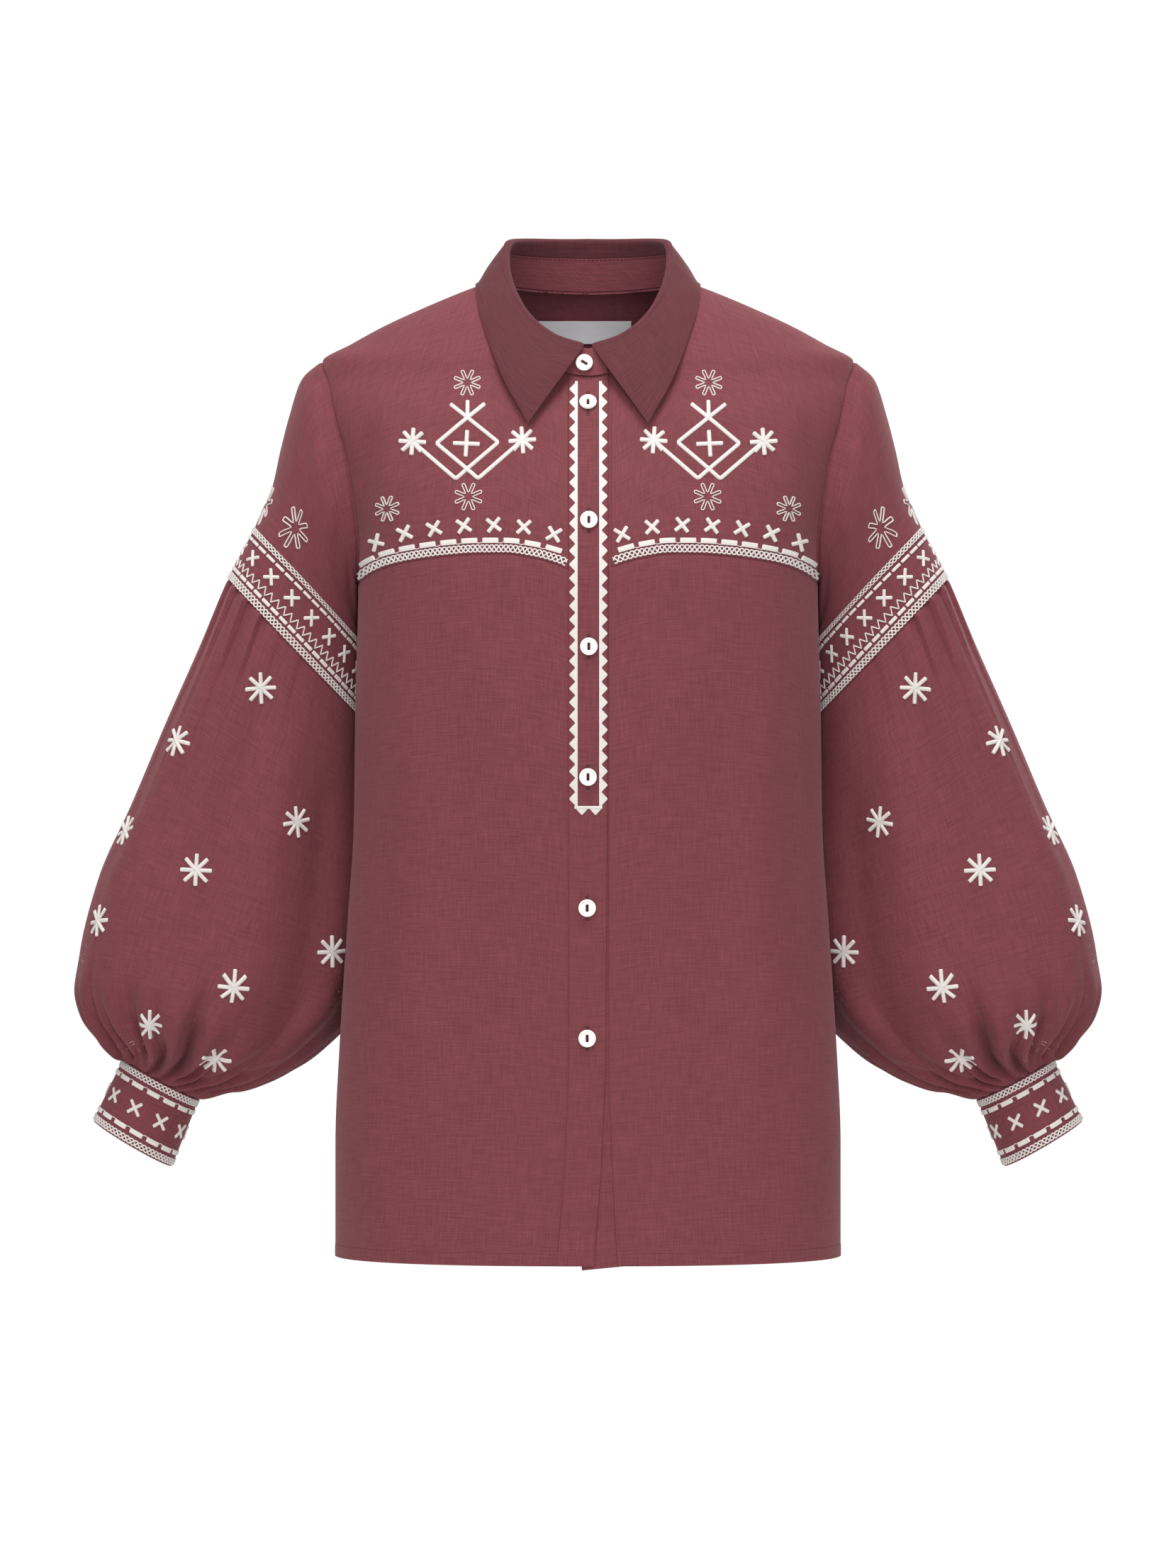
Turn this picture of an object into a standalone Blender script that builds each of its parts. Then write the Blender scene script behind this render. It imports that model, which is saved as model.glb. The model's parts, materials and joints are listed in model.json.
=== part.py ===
"""Embroidered shirt with full sleeves, filled out as if it were worn and left hollow.

Run it with blender --background --python part.py. Sizes are in millimetres, and MM turns
them to metres. +Z is up, the front faces -Y, and +X is to the right of someone who looks at
the front, which is the wearer's left. The origin is the centre of the neck base, where a
wearer's neck and shoulders carry the shirt.

Each piece of cloth is a closed wall between an outer and an inner grid of points. The trunk
panels lie on one form, whose level sections are rounded boxes, and the sleeves are loops
that leave the armhole and run to the cuff.
"""

import math

import bmesh
import bpy
import numpy as np

MM = 0.001
RIGHT, LEFT = -1, 1  # the wearer's sides, as signs of x
FRONT, BACK = -1, 1  # as signs of y

# Cloth walls and the spaces between them.
GAP = 0.3  # between two pieces at a seam
CLOTH = 1.4  # one panel
SLEEVE_CLOTH = 1.6
COLLAR_CLOTH = 1.3
CUFF_CLOTH = 1.8
SLEEVE_CLEAR = 2.0  # sleeve to trunk

# The neck ring, seen from above, is half an oval in front and half an oval behind.
NECK_HALF = 72.0
NECK_REACH = {FRONT: 76.0, BACK: 66.0}
NECK_TURNS = np.array([24.0, 37.0, 50.0, 63.0, 76.0, 90.0])  # columns, as degrees from either middle
FIRST_NECK_TURN = 11.6  # the collar's column before them

# The armhole runs from the shoulder point down to the underarm.
ARMHOLE_TOP = -56.0
ARMHOLE_BOTTOM = -223.0
ARMHOLE_REACH = {FRONT: 46.0, BACK: 50.0}  # its width to either side of the side line
ARMHOLE_TURNS = np.linspace(0, 180, 13)  # where the sleeve's and the panels' points meet
ARMHOLE_LEVELS = (1 - np.cos(np.radians(ARMHOLE_TURNS))) / 2

HEM = -716.0
UNDER_HEM = -719.0  # the lower button band hangs a little longer

ROUND = 2.4  # power of the rounded sections: 2 is an oval, more is squarer


def table(columns, rows):
    """Columns of a table by name, each as an array with a value for each row."""
    return dict(zip(columns.split(), np.array(rows, float).T))


# The trunk, from the hem up. half_width is the silhouette from the front, down to which the
# shoulder ridge falls above -56. front and back are the reach before and behind side_y.
TRUNK = table(
    "z half_width front back side_y",
    [
        (-730, 187.0, 119, 112, -6),
        (-634, 187.0, 119, 110, -6),
        (-559, 183.8, 120, 107, -6),
        (-469, 178.0, 122, 103, -6),
        (-400, 173.5, 125, 100, -6),
        (-309, 172.2, 128, 101, -6),
        (-223, 170.2, 127, 105, -6),
        (-193, 172.6, 124, 107, -5),
        (-171, 177.2, 120, 108, -4),
        (-152, 181.8, 115, 108, -3),
        (-129, 187.8, 107, 107, -2),
        (-103, 195.6, 97, 104, -1),
        (-82, 199.0, 84, 101, 0),
        (-70, 199.0, 75, 98, 0),
        (-56, 197.3, 69, 96, 0),
        (-43, 175.6, 61, 92, 0),
        (-30, 152.0, 53, 88, 0),
        (-17, 124.2, 43, 82, 0),
        (-4, 93.5, 33, 74, 0),
        (0, 83.0, 28, 69, 0),
        (4, 72.0, 22, 50, 0),
        (16, 40.0, 10, 20, 0),
    ],
)

# The seam between yoke and lower front, from the middle out.
YOKE_SEAM = table(
    "x z",
    [
        (13, -215),
        (23, -210.5),
        (40, -205.8),
        (60, -203),
        (79, -202.9),
        (101, -204.1),
        (124, -206.6),
        (145, -210.4),
        (160, -216),
        (171, -222.6),
    ],
)

# Both edges of the two button bands. They part below the last button.
BANDS = table(
    "z over_right over_left under_right under_left",
    [
        (-730, -22.9, 3.6, -4.0, 23.4),
        (-716, -22.2, 4.3, -4.6, 23.0),
        (-640, -16.5, 9.5, -9.5, 19.2),
        (-559, -13.7, 12.5, -12.0, 17.1),
        (-60, -14.2, 14.7, -12.0, 16.8),
    ],
)

# Loops of the sleeve after the armhole: its outermost and innermost points and the half
# depth between them. Row 6 is the slanting seam and row 16 the top of the cuff.
SLEEVE = table(
    "outer_x outer_y outer_z inner_x inner_y inner_z half_depth",
    [
        (212.0, 2, -69.0, 172, -2, -229.0, 50),
        (221.0, 4, -95.0, 171, 8, -239.0, 54),
        (228.0, 6, -121.5, 169, 20, -250.0, 57),
        (234.0, 7, -148.0, 165, 32, -262.0, 59),
        (246.0, 8, -176.0, 158, 44, -275.0, 60),
        (267.0, 8, -216.6, 156, 52, -333.0, 60),
        (288.0, 10, -266.0, 156, 56, -372.0, 65),
        (313.0, 13, -322.0, 158, 58, -416.0, 70),
        (339.6, 16, -384.4, 160, 60, -466.0, 74),
        (363.4, 18, -437.0, 164, 60, -508.0, 77),
        (377.3, 20, -490.0, 174, 56, -540.0, 77),
        (380.1, 22, -518.4, 193, 48, -563.0, 72),
        (373.4, 24, -539.6, 212, 43, -582.0, 63),
        (360.4, 26, -556.0, 235, 39, -595.0, 51),
        (351.0, 28, -566.0, 263, 35, -603.0, 40),
        (346.4, 30, -573.1, 290, 30, -603.3, 32),
    ],
)
SEAM_ROW = 6
CUFF_ROW = 16
ROW_GAP = 0.004  # of a row of SLEEVE, about half a GAP

# The cuff's lower edge, as a row of SLEEVE.
CUFF_EDGE = table(
    "outer_x outer_y outer_z inner_x inner_y inner_z half_depth",
    [(368.5, 28, -619.0, 310.1, 28, -653.3, 33)],
)
CUFF_HEIGHT = 52.0
CUFF_LAP_AT = 262.0  # degrees round the loop, on the hidden back
CUFF_LAP = 34.0  # degrees by which the ends lie on each other
CUFF_RISE = (310.0, 350.0)  # degrees from the lap's start over which its last end rises
CUFF_LIFT = 2.4
CUFF_DROP = 3.5

# Gathers above the cuff: their height out of the cloth, by row of SLEEVE.
GATHERS = 18
GATHER_LIFT = table(
    "row lift",
    [(6, 0), (10, 0), (11.5, 0.5), (13, 2.2), (14, 3.2), (15, 2.8), (16, 1.0)],
)
# Small tucks below the slanting seam, on the outer third of the sleeve, front and back.
TUCKS = 6
TUCK_PITCH = 15.0  # degrees round the loop
TUCK_FIRST = 15.0
TUCK_LIFT = table("row lift", [(6, 1.8), (7, 1.4), (8.5, 0.4), (10, 0), (16, 0)])

# Top edge of the collar's fold, by degrees round the neck from the middle of the front.
FOLD = table(
    "turn z",
    [
        (0, -49),
        (20, -42),
        (34, -33.5),
        (49, -21),
        (62, -7),
        (75, 7),
        (90, 23.5),
        (98, 31),
        (105, 35),
        (118, 37.2),
        (140, 38.9),
        (180, 40),
    ],
)
FOLD_HALF = 58.5
FOLD_REACH = {FRONT: 70.0, BACK: 58.0}
FOLD_RADIUS = 2.4
FOLD_ANGLES = [150, 110, 70, 30]  # of the leaf's rows round the fold, from the stand's side
BEFORE_FOLD = 0.9  # share of the way up to the fold where the leaf's second row lies
LEAF_BULGE = 2.0  # of the leaf, out of a straight fall
STAND_SHARE = table("turn share", [(0, 0.9), (60, 0.8), (120, 0.66), (180, 0.64)])
STAND_LAP = 11.0  # degrees past the middle of the front, at each end
STAND_LIFT = 2.4
YOKE_TIP_TURN = 85.0  # where the yokes' upper corners stand highest under the stand
YOKE_TIP_REACH = 15.0

# Outer edge of the collar's leaf, from the point of the collar to the middle of the back.
LEAF_EDGE = table(
    "turn x y z",
    [
        (3, 43.3, -106, -107.6),
        (20, 51.5, -98, -93.0),
        (34, 59.0, -88, -79.6),
        (49, 67.0, -74, -61.0),
        (62, 73.5, -58, -44.0),
        (75, 79.5, -38, -24.0),
        (88, 83.5, -15, -6.0),
        (100, 84.0, 8, 1.0),
        (115, 80.0, 34, -1.0),
        (135, 66.0, 58, -6.0),
        (158, 38.0, 76, -10.0),
        (180, 0.0, 82, -11.0),
    ],
)
LEAF_CLEAR = 2.8
LEAF_FIRST = 3.0  # degrees from the middle of the front to either end of the leaf

# The neck label, inside the back.
LABEL_MIDDLE = -2.4
LABEL_WIDTH = 70.4
LABEL_TOP = -18.5
LABEL_HEIGHT = 17.0
LABEL_CLOTH = 1.0
LABEL_OFF = 1.1  # from the back's inner face, whose flat facets lie a little inside its form

# A two-hole button whose holes are joined into one slot.
BUTTON_RADIUS = 6.35
BUTTON_THICK = 2.5
BUTTON_RIM = 1.1
BUTTON_DISH = 0.5
BUTTON_SLOPE = 0.5  # width of the dish's sloping side
BUTTON_ROUND = 0.6  # of the rim's edges
BUTTON_FOOT = 0.5  # height at which the back's edge starts to turn under
SLOT_LENGTH = 5.5
SLOT_WIDTH = 2.1
BUTTON_SIDES = 14
BUTTONS = table(
    "x z slot_turn",
    [
        (-2.8, -62.5, 58),
        (0.0, -92.7, 0),
        (0.6, -178.9, 0),
        (0.6, -269.8, 0),
        (0.0, -363.5, 0),
        (-0.6, -457.8, 0),
        (-0.6, -551.7, 0),
    ],
)

BAND_LIFT = 0.8  # the upper button band's outer face, above the fronts
BAND_DROP = 0.9  # the lower band's outer face, below them

LINEN = (0.215, 0.060, 0.068)
BUTTON_COLOUR = (0.80, 0.77, 0.73)
LABEL_COLOUR = (0.74, 0.74, 0.76)


def smooth(at, values, where):
    """Cubic curve through the rows of a table, with no overshoot between them."""
    at = np.asarray(at, float)
    values = np.asarray(values, float)
    where = np.clip(np.asarray(where, float), at[0], at[-1])
    spread = (-1,) + (1,) * (values.ndim - 1)
    rise = np.diff(values, axis=0) / np.diff(at).reshape(spread)
    same_way = rise[:-1] * rise[1:] > 0
    total = np.where(same_way, rise[:-1] + rise[1:], 1.0)
    slope = np.empty_like(values)
    slope[1:-1] = np.where(same_way, 2 * rise[:-1] * rise[1:] / total, 0.0)
    slope[0], slope[-1] = rise[0], rise[-1]
    row = np.clip(np.searchsorted(at, where, side="right") - 1, 0, len(at) - 2)
    step = at[row + 1] - at[row]
    extra = where.shape + (1,) * (values.ndim - 1)
    t = ((where - at[row]) / step).reshape(extra)
    step = step.reshape(extra)
    return (
        values[row] * (1 + 2 * t) * (1 - t) ** 2
        + slope[row] * step * t * (1 - t) ** 2
        + values[row + 1] * t**2 * (3 - 2 * t)
        - slope[row + 1] * step * t**2 * (1 - t)
    )


def read(rows, column, at):
    """A column of a table at any value of the table's first column."""
    first = next(iter(rows))
    return smooth(rows[first], rows[column], at)


def ease(value, start, end):
    """0 before start, 1 after end, and a soft step between them."""
    t = np.clip((value - start) / (end - start), 0, 1)
    return t * t * (3 - 2 * t)


def lerp(a, b, share):
    return a + (b - a) * share


def join(x, y, z):
    return np.stack(np.broadcast_arrays(x, y, z), axis=-1).astype(float)


def unit(vectors):
    return vectors / np.linalg.norm(vectors, axis=-1, keepdims=True)


# The trunk's form


def trunk_reach(z, side):
    return read(TRUNK, "front" if side == FRONT else "back", z)


def trunk_y(x, z, side):
    """Where the trunk's front or back lies, for a place seen from the front."""
    share = np.minimum(np.abs(x) / read(TRUNK, "half_width", z), 1)
    return read(TRUNK, "side_y", z) + side * trunk_reach(z, side) * (1 - share**ROUND) ** (1 / ROUND)


def trunk_value(points):
    """1 on the trunk's outer face, less inside it and more outside."""
    x, y, z = np.moveaxis(points, -1, 0)
    before = y - read(TRUNK, "side_y", z)
    reach = np.where(before < 0, trunk_reach(z, FRONT), trunk_reach(z, BACK))
    across = np.abs(x) / read(TRUNK, "half_width", z)
    return (across**ROUND + (np.abs(before) / reach) ** ROUND) ** (1 / ROUND)


def trunk_slope(points):
    step = 0.5 * np.eye(3)
    return np.stack([trunk_value(points + s) - trunk_value(points - s) for s in step], axis=-1)


def off_trunk(points, distance):
    """Points moved out from the trunk's face, or in for a negative distance."""
    return points + distance * unit(trunk_slope(points))


def clear_of_trunk(points, distance, share=1.0):
    """Points nearer to the trunk than the distance, or inside it, moved softly out."""
    slope = trunk_slope(points)
    away = (trunk_value(points) - 1) / np.linalg.norm(slope, axis=-1)
    short = distance - away
    softness = 2.0
    push = share * 0.5 * (short + np.sqrt(short**2 + softness**2))
    return points + push[..., None] * unit(slope)


# Edges of the trunk's panels


def armhole_reach(z, side):
    middle = (ARMHOLE_TOP + ARMHOLE_BOTTOM) / 2
    half = (ARMHOLE_TOP - ARMHOLE_BOTTOM) / 2
    return ARMHOLE_REACH[side] * np.sqrt(np.maximum(1 - ((z - middle) / half) ** 2, 0))


def side_x(z, side):
    """A panel's side edge: the armhole, and below it the side seam."""
    z = np.minimum(z, ARMHOLE_TOP)
    share = armhole_reach(z, side) / trunk_reach(z, side)
    return read(TRUNK, "half_width", z) * (1 - share**ROUND) ** (1 / ROUND)


def ridge_z(x):
    """Height of the shoulder ridge."""
    z = np.linspace(TRUNK["z"][-1], ARMHOLE_TOP, 800)
    return np.interp(x, read(TRUNK, "half_width", z), z)


def neck_ring(turn):
    """Points of the neck seam, by degrees round the neck from the middle of the front."""
    angle = np.radians(turn)
    x = NECK_HALF * np.sin(angle)
    y = np.where(np.cos(angle) > 0, -NECK_REACH[FRONT], -NECK_REACH[BACK]) * np.cos(angle)
    high = np.full(x.shape, TRUNK["z"][-2])
    low = np.full(x.shape, -130.0)
    for _ in range(40):
        z = (high + low) / 2
        inside = np.where(
            y < 0, trunk_y(x, z, FRONT) > y, trunk_y(x, z, BACK) < y
        )
        high = np.where(inside, z, high)
        low = np.where(inside, low, z)
    return join(x, y, z)


def top_edge(neck_turns, shoulder_steps, side):
    """x and z along the top of a panel: neck seam, then shoulder ridge to the armhole."""
    turns = neck_turns if side == FRONT else 180 - neck_turns
    neck = neck_ring(turns)
    end = side_x(ARMHOLE_TOP, side)
    start_share = NECK_HALF / end
    bend = np.arcsin(start_share ** (ROUND / 2))
    angles = np.linspace(bend, math.pi / 2, shoulder_steps + 1)[1:]
    shoulder_x = end * np.sin(angles) ** (2 / ROUND)
    return (
        np.concatenate([neck[:, 0], shoulder_x]),
        np.concatenate([neck[:, 2], ridge_z(shoulder_x)]),
    )


def on_ridge(x):
    return x > NECK_HALF - 0.01


# Solids


def material(name, colour, roughness):
    made = bpy.data.materials.new(name)
    made.use_nodes = True
    shader = made.node_tree.nodes["Principled BSDF"]
    shader.inputs["Base Color"].default_value = (*colour, 1)
    shader.inputs["Roughness"].default_value = roughness
    shader.inputs["Metallic"].default_value = 0
    return made


def add_solid(name, points, faces, colour=LINEN, roughness=0.85):
    """One closed object, its faces turned outwards."""
    mesh = bpy.data.meshes.new(name)
    mesh.from_pydata((points * MM).tolist(), [], faces)
    built = bmesh.new()
    built.from_mesh(mesh)
    bmesh.ops.recalc_face_normals(built, faces=built.faces)
    built.to_mesh(mesh)
    built.free()
    mesh.shade_smooth()
    mesh.set_sharp_from_angle(angle=math.radians(50))
    mesh.materials.append(material(name, colour, roughness))
    made = bpy.data.objects.new(name, mesh)
    bpy.context.scene.collection.objects.link(made)
    return made


def wall(name, outer, inner, around=False, **look):
    """Closed wall between two grids of the same shape. Around joins the last column to the first."""
    rows, columns = outer.shape[:2]
    number = np.arange(rows * columns).reshape(rows, columns)
    if around:
        number = np.concatenate([number, number[:, :1]], axis=1)
    below = number + rows * columns
    faces = []
    for grid, step in ((number, 1), (below, -1)):
        quads = np.stack([grid[:-1, :-1], grid[:-1, 1:], grid[1:, 1:], grid[1:, :-1]], axis=-1)
        faces += quads.reshape(-1, 4)[:, ::step].tolist()
    rims = [(number[0], below[0]), (below[-1], number[-1])]
    if not around:
        rims += [(below[:, 0], number[:, 0]), (number[:, -1], below[:, -1])]
    for near, far in rims:
        faces += np.stack([near[1:], near[:-1], far[:-1], far[1:]], axis=-1).tolist()
    points = np.concatenate([outer.reshape(-1, 3), inner.reshape(-1, 3)])
    return add_solid(name, points, faces, **look)


def grid_normals(grid, around=False):
    """Unit normals of a grid of points, pointing to the right of its rows' direction of travel."""
    if around:
        along_columns = np.roll(grid, -1, axis=1) - np.roll(grid, 1, axis=1)
    else:
        along_columns = np.gradient(grid, axis=1)
    return unit(np.cross(along_columns, np.gradient(grid, axis=0)))


# Trunk panels


def panel_rows(tops, bottoms, shares):
    return tops + (bottoms - tops) * shares[:, None]


def band_edge(z, side):
    """The front panel's edge beside its button band, as a distance from the middle."""
    if side == RIGHT:
        return -read(BANDS, "over_right", z) + GAP
    return read(BANDS, "under_left", z) + GAP


def front_x(share, z, side):
    """Across a front panel, from its button band to its side edge."""
    start = band_edge(z, side)
    return start + share * (side_x(z, FRONT) - start)


def front_top(side):
    """Top edge of a front yoke, its columns' shares from the band outwards and its seam's heights."""
    first = math.degrees(math.asin(band_edge(-70.0, side) / NECK_HALF))
    x, z = top_edge(np.append(first, NECK_TURNS), 5, FRONT)
    share = (x - x[0]) / (x[-1] - x[0])
    return x, z, share, read(YOKE_SEAM, "z", front_x(share, -210.0, side))


def add_yoke(side):
    x, z, share, seam = front_top(side)
    seam = seam + GAP / 2
    to_seam = (ARMHOLE_BOTTOM - ARMHOLE_TOP) / (seam[-1] - ARMHOLE_TOP)
    rows = panel_rows(z, seam, np.minimum(ARMHOLE_LEVELS * to_seam, 1))
    across = front_x(share, rows, side)
    across[0] = x
    outer = join(across, trunk_y(across, rows, FRONT), rows)
    outer[0, on_ridge(x), 1] -= GAP / 2
    grids = [off_trunk(outer, -depth) * (side, 1, 1) for depth in (0, CLOTH)]
    wall("yoke_right" if side == RIGHT else "yoke_left", *grids)


def add_front(side):
    share, seam = front_top(side)[2:]
    rows = panel_rows(seam - GAP / 2, np.full(share.shape, HEM), np.linspace(0, 1, 11))
    across = front_x(share, rows, side)
    outer = join(across, trunk_y(across, rows, FRONT), rows)
    outer[:, -1, 1] -= GAP / 2
    grids = [off_trunk(outer, -depth) * (side, 1, 1) for depth in (0, CLOTH)]
    wall("front_right" if side == RIGHT else "front_left", *grids)


def add_back():
    x, z = top_edge(np.append(0, NECK_TURNS), 5, BACK)
    x = np.concatenate([-x[:0:-1], x])
    z = np.concatenate([z[:0:-1], z])
    share = x / x[-1]
    upper = panel_rows(z, np.full(x.shape, ARMHOLE_BOTTOM), ARMHOLE_LEVELS)
    lower = panel_rows(upper[-1], np.full(x.shape, HEM), np.linspace(0, 1, 6)[1:])
    rows = np.concatenate([upper, lower])
    across = share * side_x(rows, BACK)
    across[0] = x
    outer = join(across, trunk_y(across, rows, BACK), rows)
    outer[0, on_ridge(np.abs(x)), 1] += GAP / 2
    outer[len(upper):, [0, -1], 1] += GAP / 2
    wall("back", *[off_trunk(outer, -depth) for depth in (0, CLOTH)])


def add_band(name, edges, lift, hem):
    """A button band from the neck seam to the hem."""
    rows = np.linspace(0, 1, 22)
    across = np.linspace(0, 1, 4)
    z_guess = lerp(-74.0, hem, rows)[:, None]
    x = lerp(read(BANDS, edges[0], z_guess), read(BANDS, edges[1], z_guess), across)
    turns = np.degrees(np.arcsin(x[0] / NECK_HALF))
    top = neck_ring(np.abs(turns))[:, 2] - GAP - max(lift, 0)
    z = lerp(top, hem, rows[:, None])
    outer = join(x, trunk_y(x, z, FRONT), z)
    wall(name, off_trunk(outer, lift), off_trunk(outer, lift - CLOTH))


# Sleeves


def loop(rows, turns):
    """Loops through rows of outer and inner points, front half first: (rows, turns, 3)."""
    outer = join(rows["outer_x"], rows["outer_y"], rows["outer_z"])[:, None]
    inner = join(rows["inner_x"], rows["inner_y"], rows["inner_z"])[:, None]
    angle = np.radians(turns)[None, :, None]
    depth = rows["half_depth"][:, None, None] * np.sin(angle) * np.array([0, FRONT, 0])
    return (outer + inner) / 2 + (outer - inner) / 2 * np.cos(angle) + depth


def armhole_loop(turns):
    """The armhole, from the shoulder point down the front and up the back."""
    angle = np.radians(turns)
    z = lerp(ARMHOLE_BOTTOM, ARMHOLE_TOP, (1 + np.cos(angle)) / 2)
    front = np.sin(angle) > 0
    x = np.where(front, side_x(z, FRONT), side_x(z, BACK))
    reach = np.where(front, -armhole_reach(z, FRONT), armhole_reach(z, BACK))
    return join(x + 1.3 * GAP, read(TRUNK, "side_y", z) + reach, z)


def sleeve_points(rows, turns):
    """The sleeve's outer face by row of SLEEVE, the armhole being row 0, and by turn."""
    loops = np.concatenate([armhole_loop(turns)[None], loop(SLEEVE, turns)])
    points = smooth(np.arange(len(loops)), loops, rows)
    share = ease(np.asarray(rows), 0.0, 0.9)[:, None]
    return clear_of_trunk(points, SLEEVE_CLEAR, share)


def sleeve_lift(rows, turns):
    """How far gathers and tucks stand out of the sleeve's plain form."""
    angle = np.radians(turns)
    uneven = 1 + 0.25 * np.sin(3 * angle + 1.0) + 0.15 * np.sin(5 * angle)
    gathers = read(GATHER_LIFT, "lift", rows)[:, None] * uneven * np.cos(GATHERS * angle)
    from_top = np.minimum(turns, 360 - turns)
    inside = ease(from_top, TUCK_FIRST - 5, TUCK_FIRST) * (
        1 - ease(from_top, TUCK_FIRST + TUCKS * TUCK_PITCH - 5, TUCK_FIRST + TUCKS * TUCK_PITCH)
    )
    waves = inside * np.cos(2 * math.pi * (from_top - TUCK_FIRST) / TUCK_PITCH)
    return gathers + read(TUCK_LIFT, "lift", rows)[:, None] * waves


def add_sleeve(name, side, rows, turns):
    plain = sleeve_points(rows, turns)
    normals = grid_normals(plain, around=True)
    outer = plain + sleeve_lift(rows, turns)[..., None] * normals
    inner = outer - SLEEVE_CLOTH * normals
    wall(name, outer * (side, 1, 1), inner * (side, 1, 1), around=True)


def cuff_points(turns, share):
    """The cuff's outer face: share 0 is its top edge and 1 its lower edge."""
    top = loop({name: column[-1:] for name, column in SLEEVE.items()}, turns)
    return lerp(top, loop(CUFF_EDGE, turns), np.asarray(share)[:, None, None])


def cuff_grid(turns, share):
    """Outer face and normals of the cuff band, whose last end is lifted over its first.

    The lifted end starts a little lower, clear of the gathers.
    """
    points = cuff_points(turns, share)
    normals = grid_normals(points)
    lifted = ease(turns - CUFF_LAP_AT, *CUFF_RISE)[None, :, None]
    down = (points[-1:] - points[:1]) * CUFF_DROP / CUFF_HEIGHT * (1 - np.asarray(share)[:, None, None])
    return points + lifted * (CUFF_LIFT * normals + down), normals


def add_cuff(side):
    turns = CUFF_LAP_AT + np.linspace(0, 360 + CUFF_LAP, 33)
    outer, normals = cuff_grid(turns, np.linspace(GAP / CUFF_HEIGHT, 1, 3))
    grids = [outer * (side, 1, 1), (outer - CUFF_CLOTH * normals) * (side, 1, 1)]
    wall("cuff_right" if side == RIGHT else "cuff_left", *grids)


# Collar


def fold_turn(turns):
    """Degrees from the middle of the front, either way round."""
    turns = np.mod(turns, 360)
    return np.minimum(turns, 360 - turns)


def outwards(turns):
    """Level directions away from the neck."""
    angle = np.radians(turns)
    return join(np.sin(angle), -np.cos(angle), 0)


def neck_wall(turns, share):
    """The collar's upright face, from the neck seam (0) to the fold (1), with the front lap."""
    angle = np.radians(turns)
    reach = np.where(np.cos(angle) > 0, -FOLD_REACH[FRONT], -FOLD_REACH[BACK])
    fold = join(FOLD_HALF * np.sin(angle), reach * np.cos(angle), read(FOLD, "z", fold_turn(turns)))
    lift = STAND_LIFT * ease(turns, 330.0, 348.0)
    return lerp(neck_ring(turns), fold, share) + lift[:, None] * outwards(turns)


def neck_turns(end):
    """Columns once round the neck between the same end angle on either side of the front."""
    half = np.concatenate([[end, FIRST_NECK_TURN], NECK_TURNS, 180 - NECK_TURNS[-2::-1]])
    return np.concatenate([half, [180], 360 - half[::-1]])


def add_stand():
    turns = np.concatenate([[-STAND_LAP, 0], neck_turns(LEAF_FIRST), [360, 360 + STAND_LAP]])
    top_share = read(STAND_SHARE, "share", fold_turn(turns))[:, None]
    grid = np.stack([neck_wall(turns, share * top_share) for share in np.linspace(0, 1, 3)])
    over_tip = np.abs(fold_turn(turns) - YOKE_TIP_TURN) < YOKE_TIP_REACH
    grid[0, :, 2] += np.where(over_tip, 3, 1) * GAP
    grid[-1, :, 2] -= GAP / 2
    half = COLLAR_CLOTH / 2 * outwards(turns)
    wall("collar_stand", grid + half, grid - half)


def leaf_middle(turns, falls):
    """The leaf's middle surface: up from the stand, over the fold and down to its edge."""
    top_share = read(STAND_SHARE, "share", fold_turn(turns))[:, None]
    start = neck_wall(turns, top_share) + (0, 0, GAP / 2)
    before_fold = neck_wall(turns, 1.0) - (0, 0, FOLD_RADIUS)
    out = outwards(turns)
    rows = [start, lerp(start, before_fold, BEFORE_FOLD)]
    for angle in np.radians(FOLD_ANGLES):
        around = (1 + math.cos(angle)) * out + (0, 0, 1) * np.full((len(turns), 1), math.sin(angle))
        rows.append(before_fold + FOLD_RADIUS * around)
    first_fall = len(rows)
    outside = before_fold + 2 * FOLD_RADIUS * out
    mirror = np.where(np.mod(turns, 360) > 180, -1, 1)
    edge = smooth(
        LEAF_EDGE["turn"],
        join(LEAF_EDGE["x"], LEAF_EDGE["y"], LEAF_EDGE["z"]),
        fold_turn(turns),
    )
    edge[:, 0] *= mirror
    for fall in falls:
        rows.append(lerp(outside, edge, fall) + LEAF_BULGE * math.sin(math.pi * fall) * out)
    grid = np.stack(rows)
    grid[first_fall:] = clear_of_trunk(grid[first_fall:], LEAF_CLEAR + COLLAR_CLOTH / 2)
    return grid


def add_leaf():
    grid = leaf_middle(neck_turns(LEAF_FIRST), np.linspace(0.0, 1.0, 5))
    normals = grid_normals(grid)
    normals[0] = outwards(neck_turns(LEAF_FIRST))  # as the stand's, which it meets here
    half = COLLAR_CLOTH / 2 * normals
    wall("collar_leaf", grid + half, grid - half)


# Small pieces


def add_label():
    x = LABEL_MIDDLE + np.linspace(-LABEL_WIDTH / 2, LABEL_WIDTH / 2, 9)
    z = LABEL_TOP - np.linspace(0, LABEL_HEIGHT, 3)[:, None]
    on_back = join(x, trunk_y(x, z, BACK), z)
    depths = (CLOTH + LABEL_OFF, CLOTH + LABEL_OFF + LABEL_CLOTH)
    wall("label", *[off_trunk(on_back, -depth) for depth in depths], colour=LABEL_COLOUR, roughness=0.6)


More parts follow.
